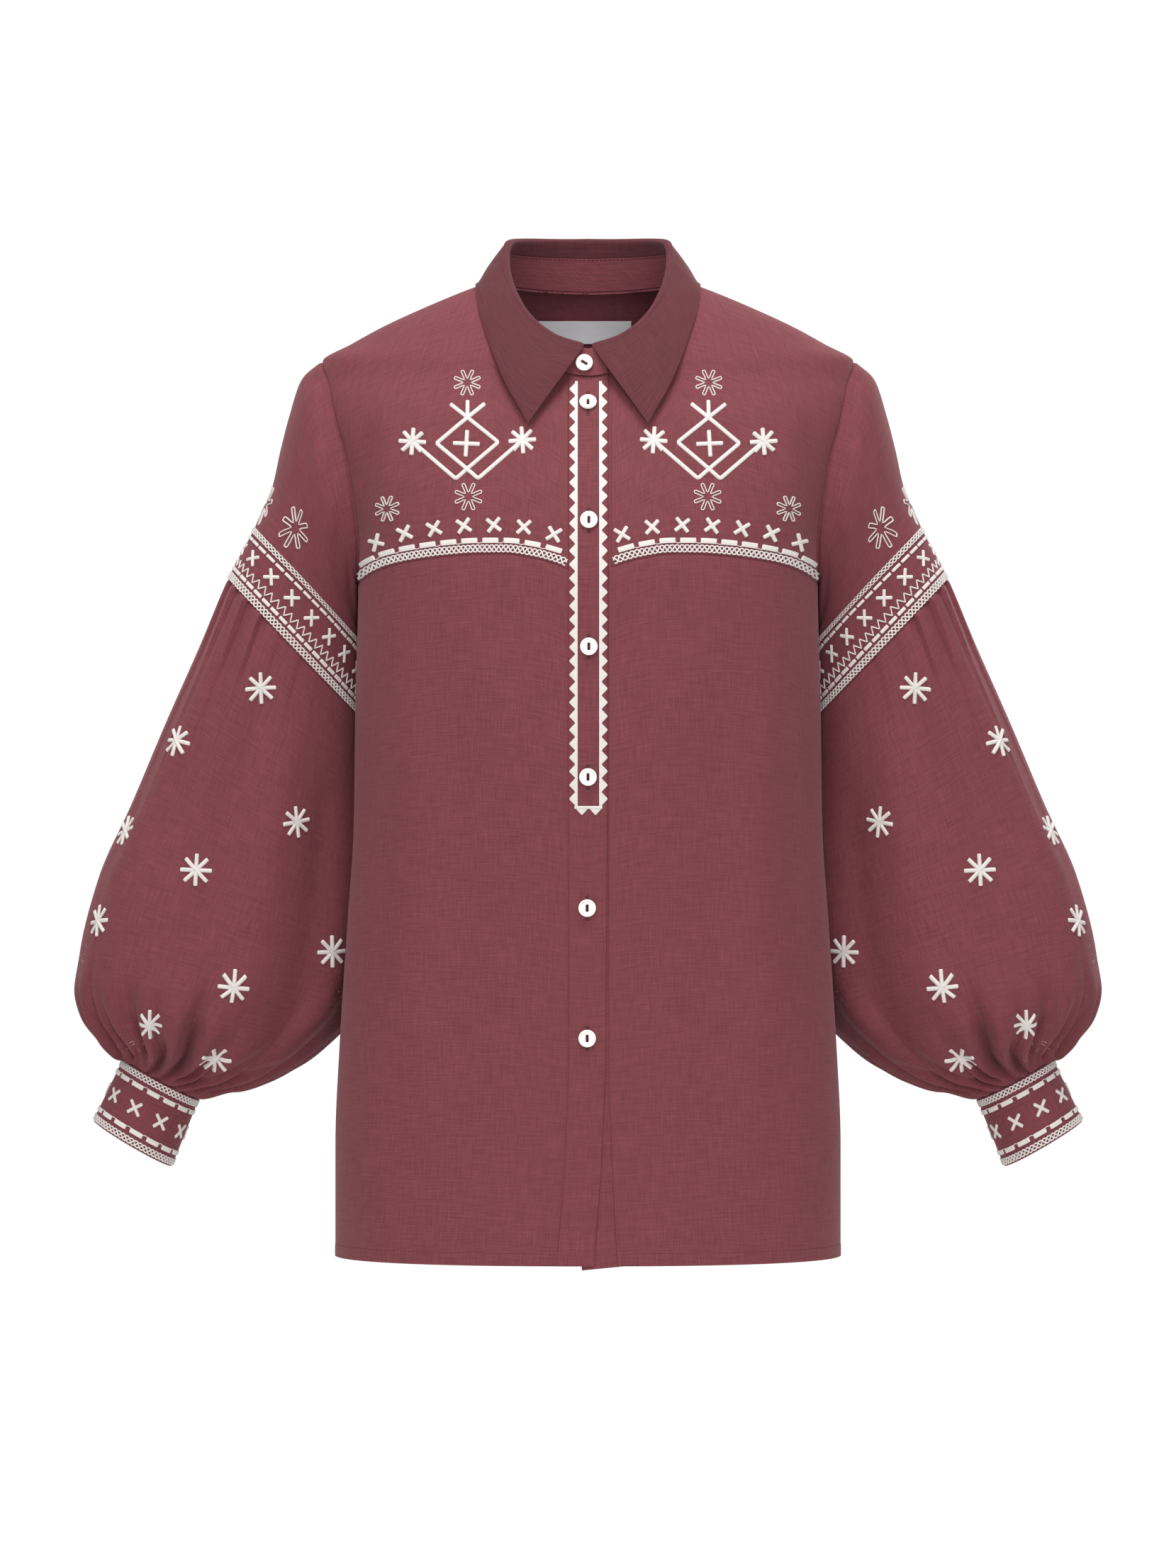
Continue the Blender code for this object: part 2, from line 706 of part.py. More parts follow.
def button_rings(slot_turn):
    """Rings from the slot out over the rim and back under to the slot: (rings, sides, 3)."""
    angle = np.linspace(0, 2 * math.pi, BUTTON_SIDES, endpoint=False)
    circle = join(np.cos(angle), np.sin(angle), 0)
    straight = (SLOT_LENGTH - SLOT_WIDTH) / 2
    slot = circle * SLOT_WIDTH / 2 + join(0, straight * np.sign(np.round(np.sin(angle), 6)), 0)
    turn = math.radians(slot_turn)
    spin = np.array([[math.cos(turn), math.sin(turn), 0], [-math.sin(turn), math.cos(turn), 0], [0, 0, 1]])
    slot = slot @ spin
    up = np.array([0, 0, 1.0])
    return np.stack(
        [
            slot + up * (BUTTON_THICK - BUTTON_DISH),
            circle * (BUTTON_RADIUS - BUTTON_RIM - BUTTON_SLOPE) + up * (BUTTON_THICK - BUTTON_DISH),
            circle * (BUTTON_RADIUS - BUTTON_RIM / 2) + up * BUTTON_THICK,
            circle * BUTTON_RADIUS + up * (BUTTON_THICK - BUTTON_ROUND),
            circle * BUTTON_RADIUS + up * BUTTON_FOOT,
            circle * (BUTTON_RADIUS - BUTTON_ROUND),
            slot,
        ]
    )


def add_button(name, place, normal, slot_turn=0.0):
    """A button whose back is at the place, facing along the normal."""
    across = unit(np.cross((0, 0, 1), normal))
    upright = np.cross(normal, across)
    rings = button_rings(slot_turn)
    points = place + rings @ np.array([across, upright, normal])
    count = rings.shape[0] * BUTTON_SIDES
    number = np.arange(count).reshape(rings.shape[:2])
    ahead = np.roll(number, -1, axis=0)
    quads = np.stack([number, np.roll(number, -1, 1), np.roll(ahead, -1, 1), ahead], axis=-1)
    add_solid(name, points.reshape(-1, 3), quads.reshape(-1, 4).tolist(), BUTTON_COLOUR, 0.35)


def add_buttons():
    x, z = BUTTONS["x"], BUTTONS["z"]
    places = join(x, trunk_y(x, z, FRONT), z)
    normals = unit(trunk_slope(places))
    places = places + (BAND_LIFT + GAP) * normals
    places[0], normals[0] = stand_seat(x[0], z[0])
    for number, turn in enumerate(BUTTONS["slot_turn"]):
        add_button(f"button_{number + 1}", places[number], normals[number], turn)
    for side, name in ((RIGHT, "button_cuff_right"), (LEFT, "button_cuff_left")):
        turns = CUFF_LAP_AT + 360 + CUFF_LAP / 2 + np.array([-2.0, 0.0, 2.0])
        seat, facing = cuff_grid(turns, np.array([0.45, 0.5, 0.55]))
        place = (seat[1, 1] + 1.2 * GAP * facing[1, 1]) * (side, 1, 1)
        add_button(name, place, facing[1, 1] * (side, 1, 1))


def stand_seat(x, z):
    """Where the top button sits on the stand's upper end, and its direction."""
    turn = 360 + math.degrees(math.asin(x / NECK_HALF))
    ends = [neck_wall(np.array([turn]), share)[0] for share in (0.0, 1.0)]
    place = lerp(ends[0], ends[1], (z - ends[0][2]) / (ends[1][2] - ends[0][2]))
    up = unit(ends[1] - ends[0])
    normal = unit(np.cross(up, np.cross(outwards(np.array([turn]))[0], up)))
    return place + (COLLAR_CLOTH / 2 + 1.5 * GAP) * normal, normal


def main():
    for old in list(bpy.data.objects):
        bpy.data.objects.remove(old)
    add_back()
    for side in (RIGHT, LEFT):
        add_yoke(side)
        add_front(side)
    add_band("placket_over", ("over_right", "over_left"), BAND_LIFT, HEM)
    add_band("placket_under", ("under_right", "under_left"), -BAND_DROP, UNDER_HEM)
    upper_rows = np.array([0, 0.5, 1, 2, 3, 4, 5, SEAM_ROW - ROW_GAP])
    lower_rows = np.array([SEAM_ROW + ROW_GAP, 7, 8, 9.2, 10.5, 11.6, 12.5, 13.3, 14, 15, CUFF_ROW])
    upper_turns = np.append(ARMHOLE_TURNS, 360 - ARMHOLE_TURNS[-2:0:-1])
    lower_turns = np.linspace(0, 360, 4 * GATHERS, endpoint=False)
    for side, word in ((RIGHT, "right"), (LEFT, "left")):
        add_sleeve(f"sleeve_upper_{word}", side, upper_rows, upper_turns)
        add_sleeve(f"sleeve_lower_{word}", side, lower_rows, lower_turns)
        add_cuff(side)
    add_stand()
    add_leaf()
    add_label()
    add_buttons()


main()
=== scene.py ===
"""Looks of the embroidered shirt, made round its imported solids.

Run it with blender --background --python scene.py. Lengths are in millimetres inside the
functions, and MM turns them to metres in make_mesh. +Z is up, the front faces -Y and +X is
the wearer's left. Tables and forms are those of the solids, read at finer steps.

Each piece of cloth is a closed thin shell over its solid's outer face, with creases as soft
ridges and troughs. Each stitch is a closed raised bar, drawn flat in the cloth's own
millimetres and then laid on the cloth's face.
"""

import functools
import json
import math

import bpy
import numpy as np
from bpy.props import FloatProperty, FloatVectorProperty, PointerProperty
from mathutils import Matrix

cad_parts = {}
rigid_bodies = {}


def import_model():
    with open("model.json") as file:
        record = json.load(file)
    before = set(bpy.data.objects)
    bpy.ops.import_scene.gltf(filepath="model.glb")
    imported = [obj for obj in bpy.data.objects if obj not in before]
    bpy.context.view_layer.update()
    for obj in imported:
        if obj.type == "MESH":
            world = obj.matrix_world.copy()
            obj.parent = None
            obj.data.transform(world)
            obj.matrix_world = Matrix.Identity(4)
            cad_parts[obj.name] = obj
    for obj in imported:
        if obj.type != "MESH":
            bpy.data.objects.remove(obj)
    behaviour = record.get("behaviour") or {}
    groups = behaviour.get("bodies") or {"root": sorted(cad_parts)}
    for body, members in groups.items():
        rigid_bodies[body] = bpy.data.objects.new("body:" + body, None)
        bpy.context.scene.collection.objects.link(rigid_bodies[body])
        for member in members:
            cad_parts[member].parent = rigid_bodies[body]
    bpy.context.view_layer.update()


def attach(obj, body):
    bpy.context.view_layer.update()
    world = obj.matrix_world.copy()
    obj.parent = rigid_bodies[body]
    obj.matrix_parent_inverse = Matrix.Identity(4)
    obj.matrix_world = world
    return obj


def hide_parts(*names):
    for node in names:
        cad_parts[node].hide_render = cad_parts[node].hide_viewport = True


bl_info = {
    "name": "Embroidered Shirt",
    "version": (1, 0, 0),
    "blender": (4, 5, 0),
    "location": "View3D > Sidebar > Shirt",
    "description": "Cloth, embroidery, buttons and stage of an embroidered shirt",
    "category": "Add Mesh",
}

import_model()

MM = 0.001
BODY = "root"
RIGHT, LEFT = -1, 1  # the wearer's sides, as signs of x
FRONT, BACK = -1, 1  # as signs of y
WORD = {RIGHT: "right", LEFT: "left"}

GAP = 0.3  # between two pieces at a seam, as in the solids
SLEEVE_CLEAR = 0.2  # less than the solids' 2, so that the cloth touches

NECK_HALF = 72.0
NECK_REACH = {FRONT: 76.0, BACK: 66.0}
ARMHOLE_TOP = -56.0
ARMHOLE_BOTTOM = -223.0
ARMHOLE_REACH = {FRONT: 46.0, BACK: 50.0}
HEM = -716.0
UNDER_HEM = -719.0  # of the lower button band's inner edge
HEM_TURN = 9.0  # height of the turned hem
HEM_RISE = 0.25  # how far the doubled hem stands out
ROUND = 2.4  # power of the trunk's rounded sections


def table(columns, rows):
    """Columns of a table by name, each as an array with a value for each row."""
    return dict(zip(columns.split(), np.array(rows, float).T))


TRUNK = table(
    "z half_width front back side_y",
    [
        (-730, 187.0, 119, 112, -6),
        (-634, 187.0, 119, 110, -6),
        (-559, 183.8, 120, 107, -6),
        (-469, 178.0, 122, 103, -6),
        (-400, 173.5, 125, 100, -6),
        (-309, 172.2, 128, 101, -6),
        (-223, 170.2, 127, 105, -6),
        (-193, 172.6, 124, 107, -5),
        (-171, 177.2, 120, 108, -4),
        (-152, 181.8, 115, 108, -3),
        (-129, 187.8, 107, 107, -2),
        (-103, 195.6, 97, 104, -1),
        (-82, 199.0, 84, 101, 0),
        (-70, 199.0, 75, 98, 0),
        (-56, 197.3, 69, 96, 0),
        (-43, 175.6, 61, 92, 0),
        (-30, 152.0, 53, 88, 0),
        (-17, 124.2, 43, 82, 0),
        (-4, 93.5, 33, 74, 0),
        (0, 83.0, 28, 69, 0),
        (4, 72.0, 22, 50, 0),
        (16, 40.0, 10, 20, 0),
    ],
)

YOKE_SEAM = table(
    "x z",
    [
        (13, -215),
        (23, -210.5),
        (40, -205.8),
        (60, -203),
        (79, -202.9),
        (101, -204.1),
        (124, -206.6),
        (145, -210.4),
        (160, -216),
        (171, -222.6),
    ],
)

BANDS = table(
    "z over_right over_left under_right under_left",
    [
        (-730, -22.9, 3.6, -4.0, 23.4),
        (-716, -22.2, 4.3, -4.6, 23.0),
        (-640, -16.5, 9.5, -9.5, 19.2),
        (-559, -13.7, 12.5, -12.0, 17.1),
        (-60, -14.2, 14.7, -12.0, 16.8),
    ],
)
BAND_LIFT = 0.8  # of the upper button band's face, out of the trunk's form
BAND_DROP = 0.9  # of the lower band's, into it

# Loops of the sleeve after the armhole, which is row 0.
SLEEVE = table(
    "outer_x outer_y outer_z inner_x inner_y inner_z half_depth",
    [
        (212.0, 2, -69.0, 172, -2, -229.0, 50),
        (221.0, 4, -95.0, 171, 8, -239.0, 54),
        (228.0, 6, -121.5, 169, 20, -250.0, 57),
        (234.0, 7, -148.0, 165, 32, -262.0, 59),
        (246.0, 8, -176.0, 158, 44, -275.0, 60),
        (267.0, 8, -216.6, 156, 52, -333.0, 60),
        (288.0, 10, -266.0, 156, 56, -372.0, 65),
        (313.0, 13, -322.0, 158, 58, -416.0, 70),
        (339.6, 16, -384.4, 160, 60, -466.0, 74),
        (363.4, 18, -437.0, 164, 60, -508.0, 77),
        (377.3, 20, -490.0, 174, 56, -540.0, 77),
        (380.1, 22, -518.4, 193, 48, -563.0, 72),
        (373.4, 24, -539.6, 212, 43, -582.0, 63),
        (360.4, 26, -556.0, 235, 39, -595.0, 51),
        (351.0, 28, -566.0, 263, 35, -603.0, 40),
        (346.4, 30, -573.1, 290, 30, -603.3, 32),
    ],
)
SEAM_ROW = 6
CUFF_ROW = 16
UNDERARM_PULL = 3.0  # of the cloth at the armpit towards the body
ROW_GAP = 0.004  # of a row, on either side of the slanting seam

CUFF_EDGE = table(
    "outer_x outer_y outer_z inner_x inner_y inner_z half_depth",
    [(368.5, 28, -619.0, 310.1, 28, -653.3, 33)],
)
CUFF_HEIGHT = 52.0
CUFF_LAP_AT = 262.0  # turn at which the cuff's band starts
CUFF_LAP = 34.0  # degrees by which its last end runs over its first
CUFF_LIFT = 2.4  # of that end, outwards
CUFF_DROP = 3.5  # of that end's upper edge

GATHERS = 18  # round the cuff
GATHER_LIFT = table(
    "row lift",
    [(6, 0), (9.5, 0), (11, 1.6), (12, 3.2), (13, 4.6), (14, 5.0), (15, 4.0), (15.6, 2.8), (16, 1.0)],
)
INNER_DRAW = 6.0  # of the balloon's underside, up from the solid's
TUCKS = 6  # below the sleeve's band, on either half
TUCK_PITCH = 15.0  # in degrees, as is the next
TUCK_FIRST = 15.0
TUCK_LIFT = table("row lift", [(6, 2.2), (6.6, 1.9), (7.4, 1.0), (8.5, 0.4), (10, 0), (16, 0)])
PLEAT_TURN = 0.16  # share of a tuck's pitch over which it drops

FOLD = table(
    "turn z",
    [
        (0, -49),
        (20, -42),
        (34, -33.5),
        (49, -21),
        (62, -7),
        (75, 7),
        (90, 23.5),
        (98, 31),
        (105, 35),
        (118, 37.2),
        (140, 38.9),
        (180, 40),
    ],
)
FOLD_HALF = 58.5  # half the width of the collar's fold
FOLD_REACH = {FRONT: 70.0, BACK: 58.0}  # how far it reaches forwards and back
FOLD_RADIUS = 2.4  # of the leaf's turn over the stand
STAND_SHARE = table("turn share", [(0, 0.9), (60, 0.8), (120, 0.66), (180, 0.64)])
STAND_LAP = 11.0  # degrees past the middle of the front
STAND_LIFT = 2.4  # of the lap that lies on top
LEAF_EDGE = table(
    "turn x y z",
    [
        (3, 43.3, -106, -107.6),
        (20, 51.5, -98, -93.0),
        (34, 59.0, -88, -79.6),
        (49, 67.0, -74, -61.0),
        (62, 73.5, -58, -44.0),
        (75, 79.5, -38, -24.0),
        (88, 81.8, -15, -4.5),
        (100, 81.6, 8, -0.6),
        (115, 77.0, 34, -1.6),
        (135, 66.0, 58, -6.0),
        (158, 38.0, 76, -10.0),
        (180, 0.0, 82, -11.0),
    ],
)
LEAF_CLEAR = 0.15  # less than the solid's, so that the cloth touches
LEAF_FIRST = 3.0  # degrees from the middle of the front to the leaf's end
COLLAR_CLOTH = 1.3  # thickness

LABEL_MIDDLE = -2.4
LABEL_WIDTH = 70.4
LABEL_TOP = -18.5
LABEL_HEIGHT = 17.0
LABEL_OFF = 2.5  # from the back's outer face to the label's back

BUTTON_RADIUS = 6.35
BUTTON_THICK = 2.5
SLOT_LENGTH = 5.5  # of the slot in the button, where the thread lies
SLOT_WIDTH = 2.1
BUTTONS = table(
    "x z slot_turn",
    [
        (-2.8, -62.5, 58),
        (0.0, -92.7, 0),
        (0.6, -178.9, 0),
        (0.6, -269.8, 0),
        (0.0, -363.5, 0),
        (-0.6, -457.8, 0),
        (-0.6, -551.7, 0),
    ],
)

# The camera looks level along +Y at the middle of the photograph's frame.
CAMERA_DISTANCE = 4500.0
CAMERA_HEIGHT = -368.6
FRAME_HEIGHT = 1161.3  # of the whole frame, at the shirt's side
SENSOR = 36.0

# Soft folds of the front, from top to bottom: how far each stands out, and half its width.
FRONT_FOLDS = table(
    "x_top z_top x_low z_low lift width",
    [
        (52, -225, 60, -690, 1.3, 13),
        (88, -240, 96, -705, -1.6, 12),
        (120, -250, 130, -716, 1.5, 11),
        (150, -236, 158, -640, -1.5, 8),
        (32, -430, 40, -716, -1.1, 10),
        (165, -90, 160, -215, -1.6, 7),
        (148, -70, 138, -190, 1.1, 9),
        (112, -40, 104, -150, -0.7, 10),
    ],
)
BACK_FOLDS = table(
    "x_top z_top x_low z_low lift width",
    [
        (0, -60, 4, -716, -1.8, 16),
        (46, -120, 52, -716, 2.2, 15),
        (-50, -100, -46, -700, 2.0, 15),
        (94, -160, 104, -716, -2.4, 13),
        (-96, -180, -108, -716, -2.2, 14),
        (132, -210, 142, -690, 2.0, 10),
        (-134, -190, -144, -716, 2.2, 10),
        (150, -80, 136, -260, -1.8, 9),
        (-150, -84, -138, -250, -1.8, 9),
    ],
)

# Creases of the sleeve, as turns and rows of the sleeve at both ends of each.
SLEEVE_FOLDS = table(
    "turn_top row_top turn_low row_low lift width",
    [
        (20, 6.0, 15, 12.0, -1.5, 10),
        (34, 6.0, 30, 11.0, 2.2, 9),
        (47, 6.0, 48, 9.6, -2.0, 8),
        (61, 6.0, 64, 9.8, 2.6, 7),
        (78, 6.2, 84, 12.2, -2.6, 9),
        (98, 6.6, 102, 12.6, 3.0, 10),
        (121, 7.0, 126, 13.6, -4.0, 8),
        (143, 6.8, 140, 13.0, 3.4, 8),
        (162, 7.2, 158, 13.2, -3.0, 9),
        (22, 11.6, 30, 15.8, -9.0, 4.5),
        (38, 11.0, 44, 15.8, -10.0, 4.5),
        (58, 10.4, 58, 15.8, -12.0, 4.5),
        (76, 12.0, 72, 15.8, -10.0, 4.0),
        (90, 10.6, 86, 15.8, -11.5, 4.5),
        (103, 12.2, 99, 15.8, -9.5, 4.0),
        (128, 12.2, 112, 15.8, -8.5, 4.5),
        (146, 12.6, 128, 15.8, -6.5, 5.0),
        (164, 13.4, 146, 15.8, -2.5, 6.0),
        (334, 6.0, 340, 13.0, -4.0, 7),
        (318, 6.0, 322, 10.6, 3.2, 6),
        (300, 6.1, 300, 11.4, -3.2, 8),
        (276, 6.4, 270, 12.6, 3.0, 9),
        (248, 6.6, 246, 12.2, -3.6, 9),
        (222, 7.0, 224, 13.0, 3.0, 8),
        (338, 11.0, 330, 15.7, 4.8, 6),
        (322, 11.2, 316, 15.7, -6.5, 6),
        (302, 11.0, 300, 15.7, 4.6, 6),
        (284, 11.5, 284, 15.7, -7.0, 7),
        (264, 11.2, 268, 15.7, 5.0, 7),
        (244, 11.8, 250, 15.7, -6.0, 6),
        (220, 12.0, 230, 15.7, 4.4, 7),
        (198, 12.2, 208, 15.7, -5.0, 7),
        (58, 0.4, 60, 4.6, -1.8, 9),
        (98, 0.2, 112, 5.2, 1.9, 10),
        (138, 0.6, 146, 5.4, -2.2, 9),
        (300, 0.4, 296, 4.8, -1.8, 9),
        (258, 0.3, 250, 5.2, 1.9, 10),
    ],
)

# Where the sleeve's cloth is thin enough for light to prick through.
THIN_SPOTS = table(
    "turn row turn_reach row_reach",
    [(152, 8.6, 14, 1.0), (150, 10.4, 12, 0.9), (14, 11.2, 8, 0.6), (52, 14.3, 22, 0.7), (212, 9.5, 16, 1.2)],
)

# The stars of the lower sleeve, as seen from the front in the plane of the shirt's sides.
SLEEVE_STARS = table(
    "x z lean",
    [
        (242.3, -297.2, 4),
        (305.3, -337.1, -8),
        (216.0, -397.0, 10),
        (342.6, -403.3, 15),
        (290.3, -431.9, -3),
        (362.5, -469.4, 6),
        (189.3, -493.5, 2),
        (263.0, -519.5, -6),
        (325.2, -547.6, 12),
        (275.9, -572.8, 20),
    ],
)
UPPER_STARS = table("x z", [(216.6, -179.1), (238.1, -161.8)])


def smooth(at, values, where):
    """Monotone cubic curve through the rows of a table: Hermite pieces with harmonic-mean slopes."""
    at = np.asarray(at, float)
    values = np.asarray(values, float)
    where = np.clip(np.asarray(where, float), at[0], at[-1])
    spread = (-1,) + (1,) * (values.ndim - 1)
    rise = np.diff(values, axis=0) / np.diff(at).reshape(spread)
    same_way = rise[:-1] * rise[1:] > 0
    total = np.where(same_way, rise[:-1] + rise[1:], 1.0)
    slope = np.empty_like(values)
    slope[1:-1] = np.where(same_way, 2 * rise[:-1] * rise[1:] / total, 0.0)
    slope[0], slope[-1] = rise[0], rise[-1]
    row = np.clip(np.searchsorted(at, where, side="right") - 1, 0, len(at) - 2)
    step = at[row + 1] - at[row]
    extra = where.shape + (1,) * (values.ndim - 1)
    t = ((where - at[row]) / step).reshape(extra)
    step = step.reshape(extra)
    return (
        values[row] * (1 + 2 * t) * (1 - t) ** 2
        + slope[row] * step * t * (1 - t) ** 2
        + values[row + 1] * t**2 * (3 - 2 * t)
        - slope[row + 1] * step * t**2 * (1 - t)
    )


def read(rows, column, at):
    """A column of a table at any value of the table's first column."""
    first = next(iter(rows))
    return smooth(rows[first], rows[column], at)


def ease(value, start, end):
    """0 before start, 1 after end, and 3t² - 2t³ between them."""
    t = np.clip((value - start) / (end - start), 0, 1)
    return t * t * (3 - 2 * t)


def lerp(a, b, share):
    """a at share 0 and b at share 1, evenly between them."""
    return a + (b - a) * share


def join(x, y, z):
    """Points from their three coordinates."""
    return np.stack(np.broadcast_arrays(x, y, z), axis=-1).astype(float)


def unit(vectors):
    """Vectors scaled to a length of 1."""
    return vectors / np.linalg.norm(vectors, axis=-1, keepdims=True)


def close_ends(count, share=0.9):
    """Shares from 0 to 1, closer together at both ends: t - share sin(2 pi t) / 2 pi."""
    t = np.linspace(0, 1, count)
    return t - share * np.sin(2 * math.pi * t) / (2 * math.pi)


# The trunk's form


def trunk_reach(z, side):
    """How far the trunk's front or back reaches from its sides at a height."""
    return read(TRUNK, "front" if side == FRONT else "back", z)


def trunk_y(x, z, side):
    """Depth of the trunk's front or back: a section is |x/a|^p + |y/b|^p = 1."""
    share = np.minimum(np.abs(x) / read(TRUNK, "half_width", z), 1)
    return read(TRUNK, "side_y", z) + side * trunk_reach(z, side) * (1 - share**ROUND) ** (1 / ROUND)


def trunk_value(points):
    """(|x/a|^p + |y/b|^p)^(1/p), which is 1 on the trunk's outer face."""
    x, y, z = np.moveaxis(points, -1, 0)
    before = y - read(TRUNK, "side_y", z)
    reach = np.where(before < 0, trunk_reach(z, FRONT), trunk_reach(z, BACK))
    across = np.abs(x) / read(TRUNK, "half_width", z)
    return (across**ROUND + (np.abs(before) / reach) ** ROUND) ** (1 / ROUND)


def trunk_slope(points):
    """Differences of the trunk's value across 1 mm each way, which point out of it."""
    step = 0.5 * np.eye(3)
    return np.stack([trunk_value(points + s) - trunk_value(points - s) for s in step], axis=-1)


def off_trunk(points, distance):
    """Points moved out from the trunk's face by a distance, which may differ from point to point."""
    return points + np.asarray(distance)[..., None] * unit(trunk_slope(points))


def clear_of_trunk(points, distance, share=1.0, soft=1.0):
    """Points nearer to the trunk than the distance moved out: a push of (s + sqrt(s² + soft²)) / 2."""
    slope = trunk_slope(points)
    away = (trunk_value(points) - 1) / np.linalg.norm(slope, axis=-1)
    short = distance - away
    push = share * 0.5 * (short + np.sqrt(short**2 + soft**2))
    return points + push[..., None] * unit(slope)


def armhole_reach(z, side):
    """How far the armhole's ellipse reaches forwards or back at a height."""
    middle = (ARMHOLE_TOP + ARMHOLE_BOTTOM) / 2
    half = (ARMHOLE_TOP - ARMHOLE_BOTTOM) / 2
    return ARMHOLE_REACH[side] * np.sqrt(np.maximum(1 - ((z - middle) / half) ** 2, 0))


def side_x(z, side):
    """A panel's side edge: the armhole, and below it the side seam."""
    z = np.minimum(z, ARMHOLE_TOP)
    share = armhole_reach(z, side) / trunk_reach(z, side)
    return read(TRUNK, "half_width", z) * (1 - share**ROUND) ** (1 / ROUND)


def ridge_z(x):
    """Height of the shoulder ridge, where the trunk is just as wide as x."""
    z = np.linspace(TRUNK["z"][-1], ARMHOLE_TOP, 800)
    return np.interp(x, read(TRUNK, "half_width", z), z)


def neck_ring(turn):
    """The neck seam, by degrees round the neck from the middle of the front, found by halving."""
    angle = np.radians(turn)
    x = NECK_HALF * np.sin(angle)
    y = np.where(np.cos(angle) > 0, -NECK_REACH[FRONT], -NECK_REACH[BACK]) * np.cos(angle)
    high = np.full(x.shape, TRUNK["z"][-2])
    low = np.full(x.shape, -130.0)
    for _ in range(40):
        z = (high + low) / 2
        inside = np.where(y < 0, trunk_y(x, z, FRONT) > y, trunk_y(x, z, BACK) < y)
        high = np.where(inside, z, high)
        low = np.where(inside, low, z)
    return join(x, y, z)


def top_edge(neck_turns, shoulder_steps, side):
    """x and z along the top of a panel: neck seam, then shoulder ridge to the armhole."""
    neck = neck_ring(neck_turns if side == FRONT else 180 - neck_turns)
    end = side_x(ARMHOLE_TOP, side)
    bend = np.arcsin((NECK_HALF / end) ** (ROUND / 2))
    angles = np.linspace(bend, math.pi / 2, shoulder_steps + 1)[1:]
    shoulder_x = end * np.sin(angles) ** (2 / ROUND)
    return (
        np.concatenate([neck[:, 0], shoulder_x]),
        np.concatenate([neck[:, 2], ridge_z(shoulder_x)]),
    )


def band_edge(z, side):
    """The front panel's edge beside its button band, as a distance from the middle."""
    if side == RIGHT:
        return -read(BANDS, "over_right", z) + GAP
    return read(BANDS, "under_left", z) + GAP


def front_x(share, z, side):
    """x on the front, from the button band (0) to the side edge (1)."""
    start = band_edge(z, side)
    return start + share * (side_x(z, FRONT) - start)


def folds(rows, across, down, names):
    """Sum of soft ridges: lift exp(-(distance / width)²), eased in and out along each fold.

    A fold that reaches the cuff grows deeper all the way down and is drawn in at the cuff.
    """
    first_across, first_down, last_across, last_down = names
    total = np.zeros(np.broadcast(across, down).shape)
    for k in range(len(rows["lift"])):
        start, end = rows[first_down][k], rows[last_down][k]
        along = (down - start) / (end - start)
        middle = lerp(rows[first_across][k], rows[last_across][k], along)
        middle = middle + 0.35 * rows["width"][k] * np.sin(3.1 * along + k)
        if end > CUFF_ROW - 1:
            inside = ease(along, 0, 0.55) * (1 - 0.9 * ease(along, 0.74, 1.02))
        else:
            inside = ease(along, -0.02, 0.22) * (1 - ease(along, 0.62, 1.02))
        total = total + rows["lift"][k] * inside * np.exp(-(((across - middle) / rows["width"][k]) ** 2))
    return total


def trunk_relief(x, z, side):
    """Creases of the trunk's front or back, in mm out of its form."""
    names = ("x_top", "z_top", "x_low", "z_low")
    depth = bpy.context.scene.shirt_cloth.creases
    if side == FRONT:
        return depth * folds(FRONT_FOLDS, np.abs(x), z, names)
    return depth * folds(BACK_FOLDS, x, z, names)


def on_trunk(x, z, lift, side=FRONT):
    """Points on the creased front or back, moved out by a lift: flat x and z laid on the cloth."""
    on_form = join(x, trunk_y(x, z, side), z)
    return off_trunk(on_form, trunk_relief(x, z, side) + lift)


def on_band(x, z, lift):
    """Points on the upper button band's face, moved out by a lift."""
    return on_trunk(x, z, BAND_LIFT + lift)


# Sleeves and cuffs

OFF_ARMHOLE = 1.3 * GAP


def loop(rows, turns):
    """Loops with outer and inner points: middle + half difference cos(turn) + depth sin(turn)."""
    outer = join(rows["outer_x"], rows["outer_y"], rows["outer_z"])[:, None]
    inner = join(rows["inner_x"], rows["inner_y"], rows["inner_z"])[:, None]
    angle = np.radians(turns)[None, :, None]
    depth = rows["half_depth"][:, None, None] * np.sin(angle) * np.array([0, FRONT, 0])
    return (outer + inner) / 2 + (outer - inner) / 2 * np.cos(angle) + depth


def armhole_loop(turns):
    """The sleeve's first loop, on the armhole: its height is a cosine of the turn."""
    angle = np.radians(turns)
    z = lerp(ARMHOLE_BOTTOM, ARMHOLE_TOP, (1 + np.cos(angle)) / 2)
    front = np.sin(angle) > 0
    x = np.where(front, side_x(z, FRONT), side_x(z, BACK))
    reach = np.where(front, -armhole_reach(z, FRONT), armhole_reach(z, BACK))
    return join(x + OFF_ARMHOLE, read(TRUNK, "side_y", z) + reach, z)


def grid_normals(grid, around=False):
    """Unit normals of a grid: cross product of its steps along columns and along rows."""
    if around:
        along_columns = np.roll(grid, -1, axis=1) - np.roll(grid, 1, axis=1)
    else:
        along_columns = np.gradient(grid, axis=1)
    return unit(np.cross(along_columns, np.gradient(grid, axis=0)))


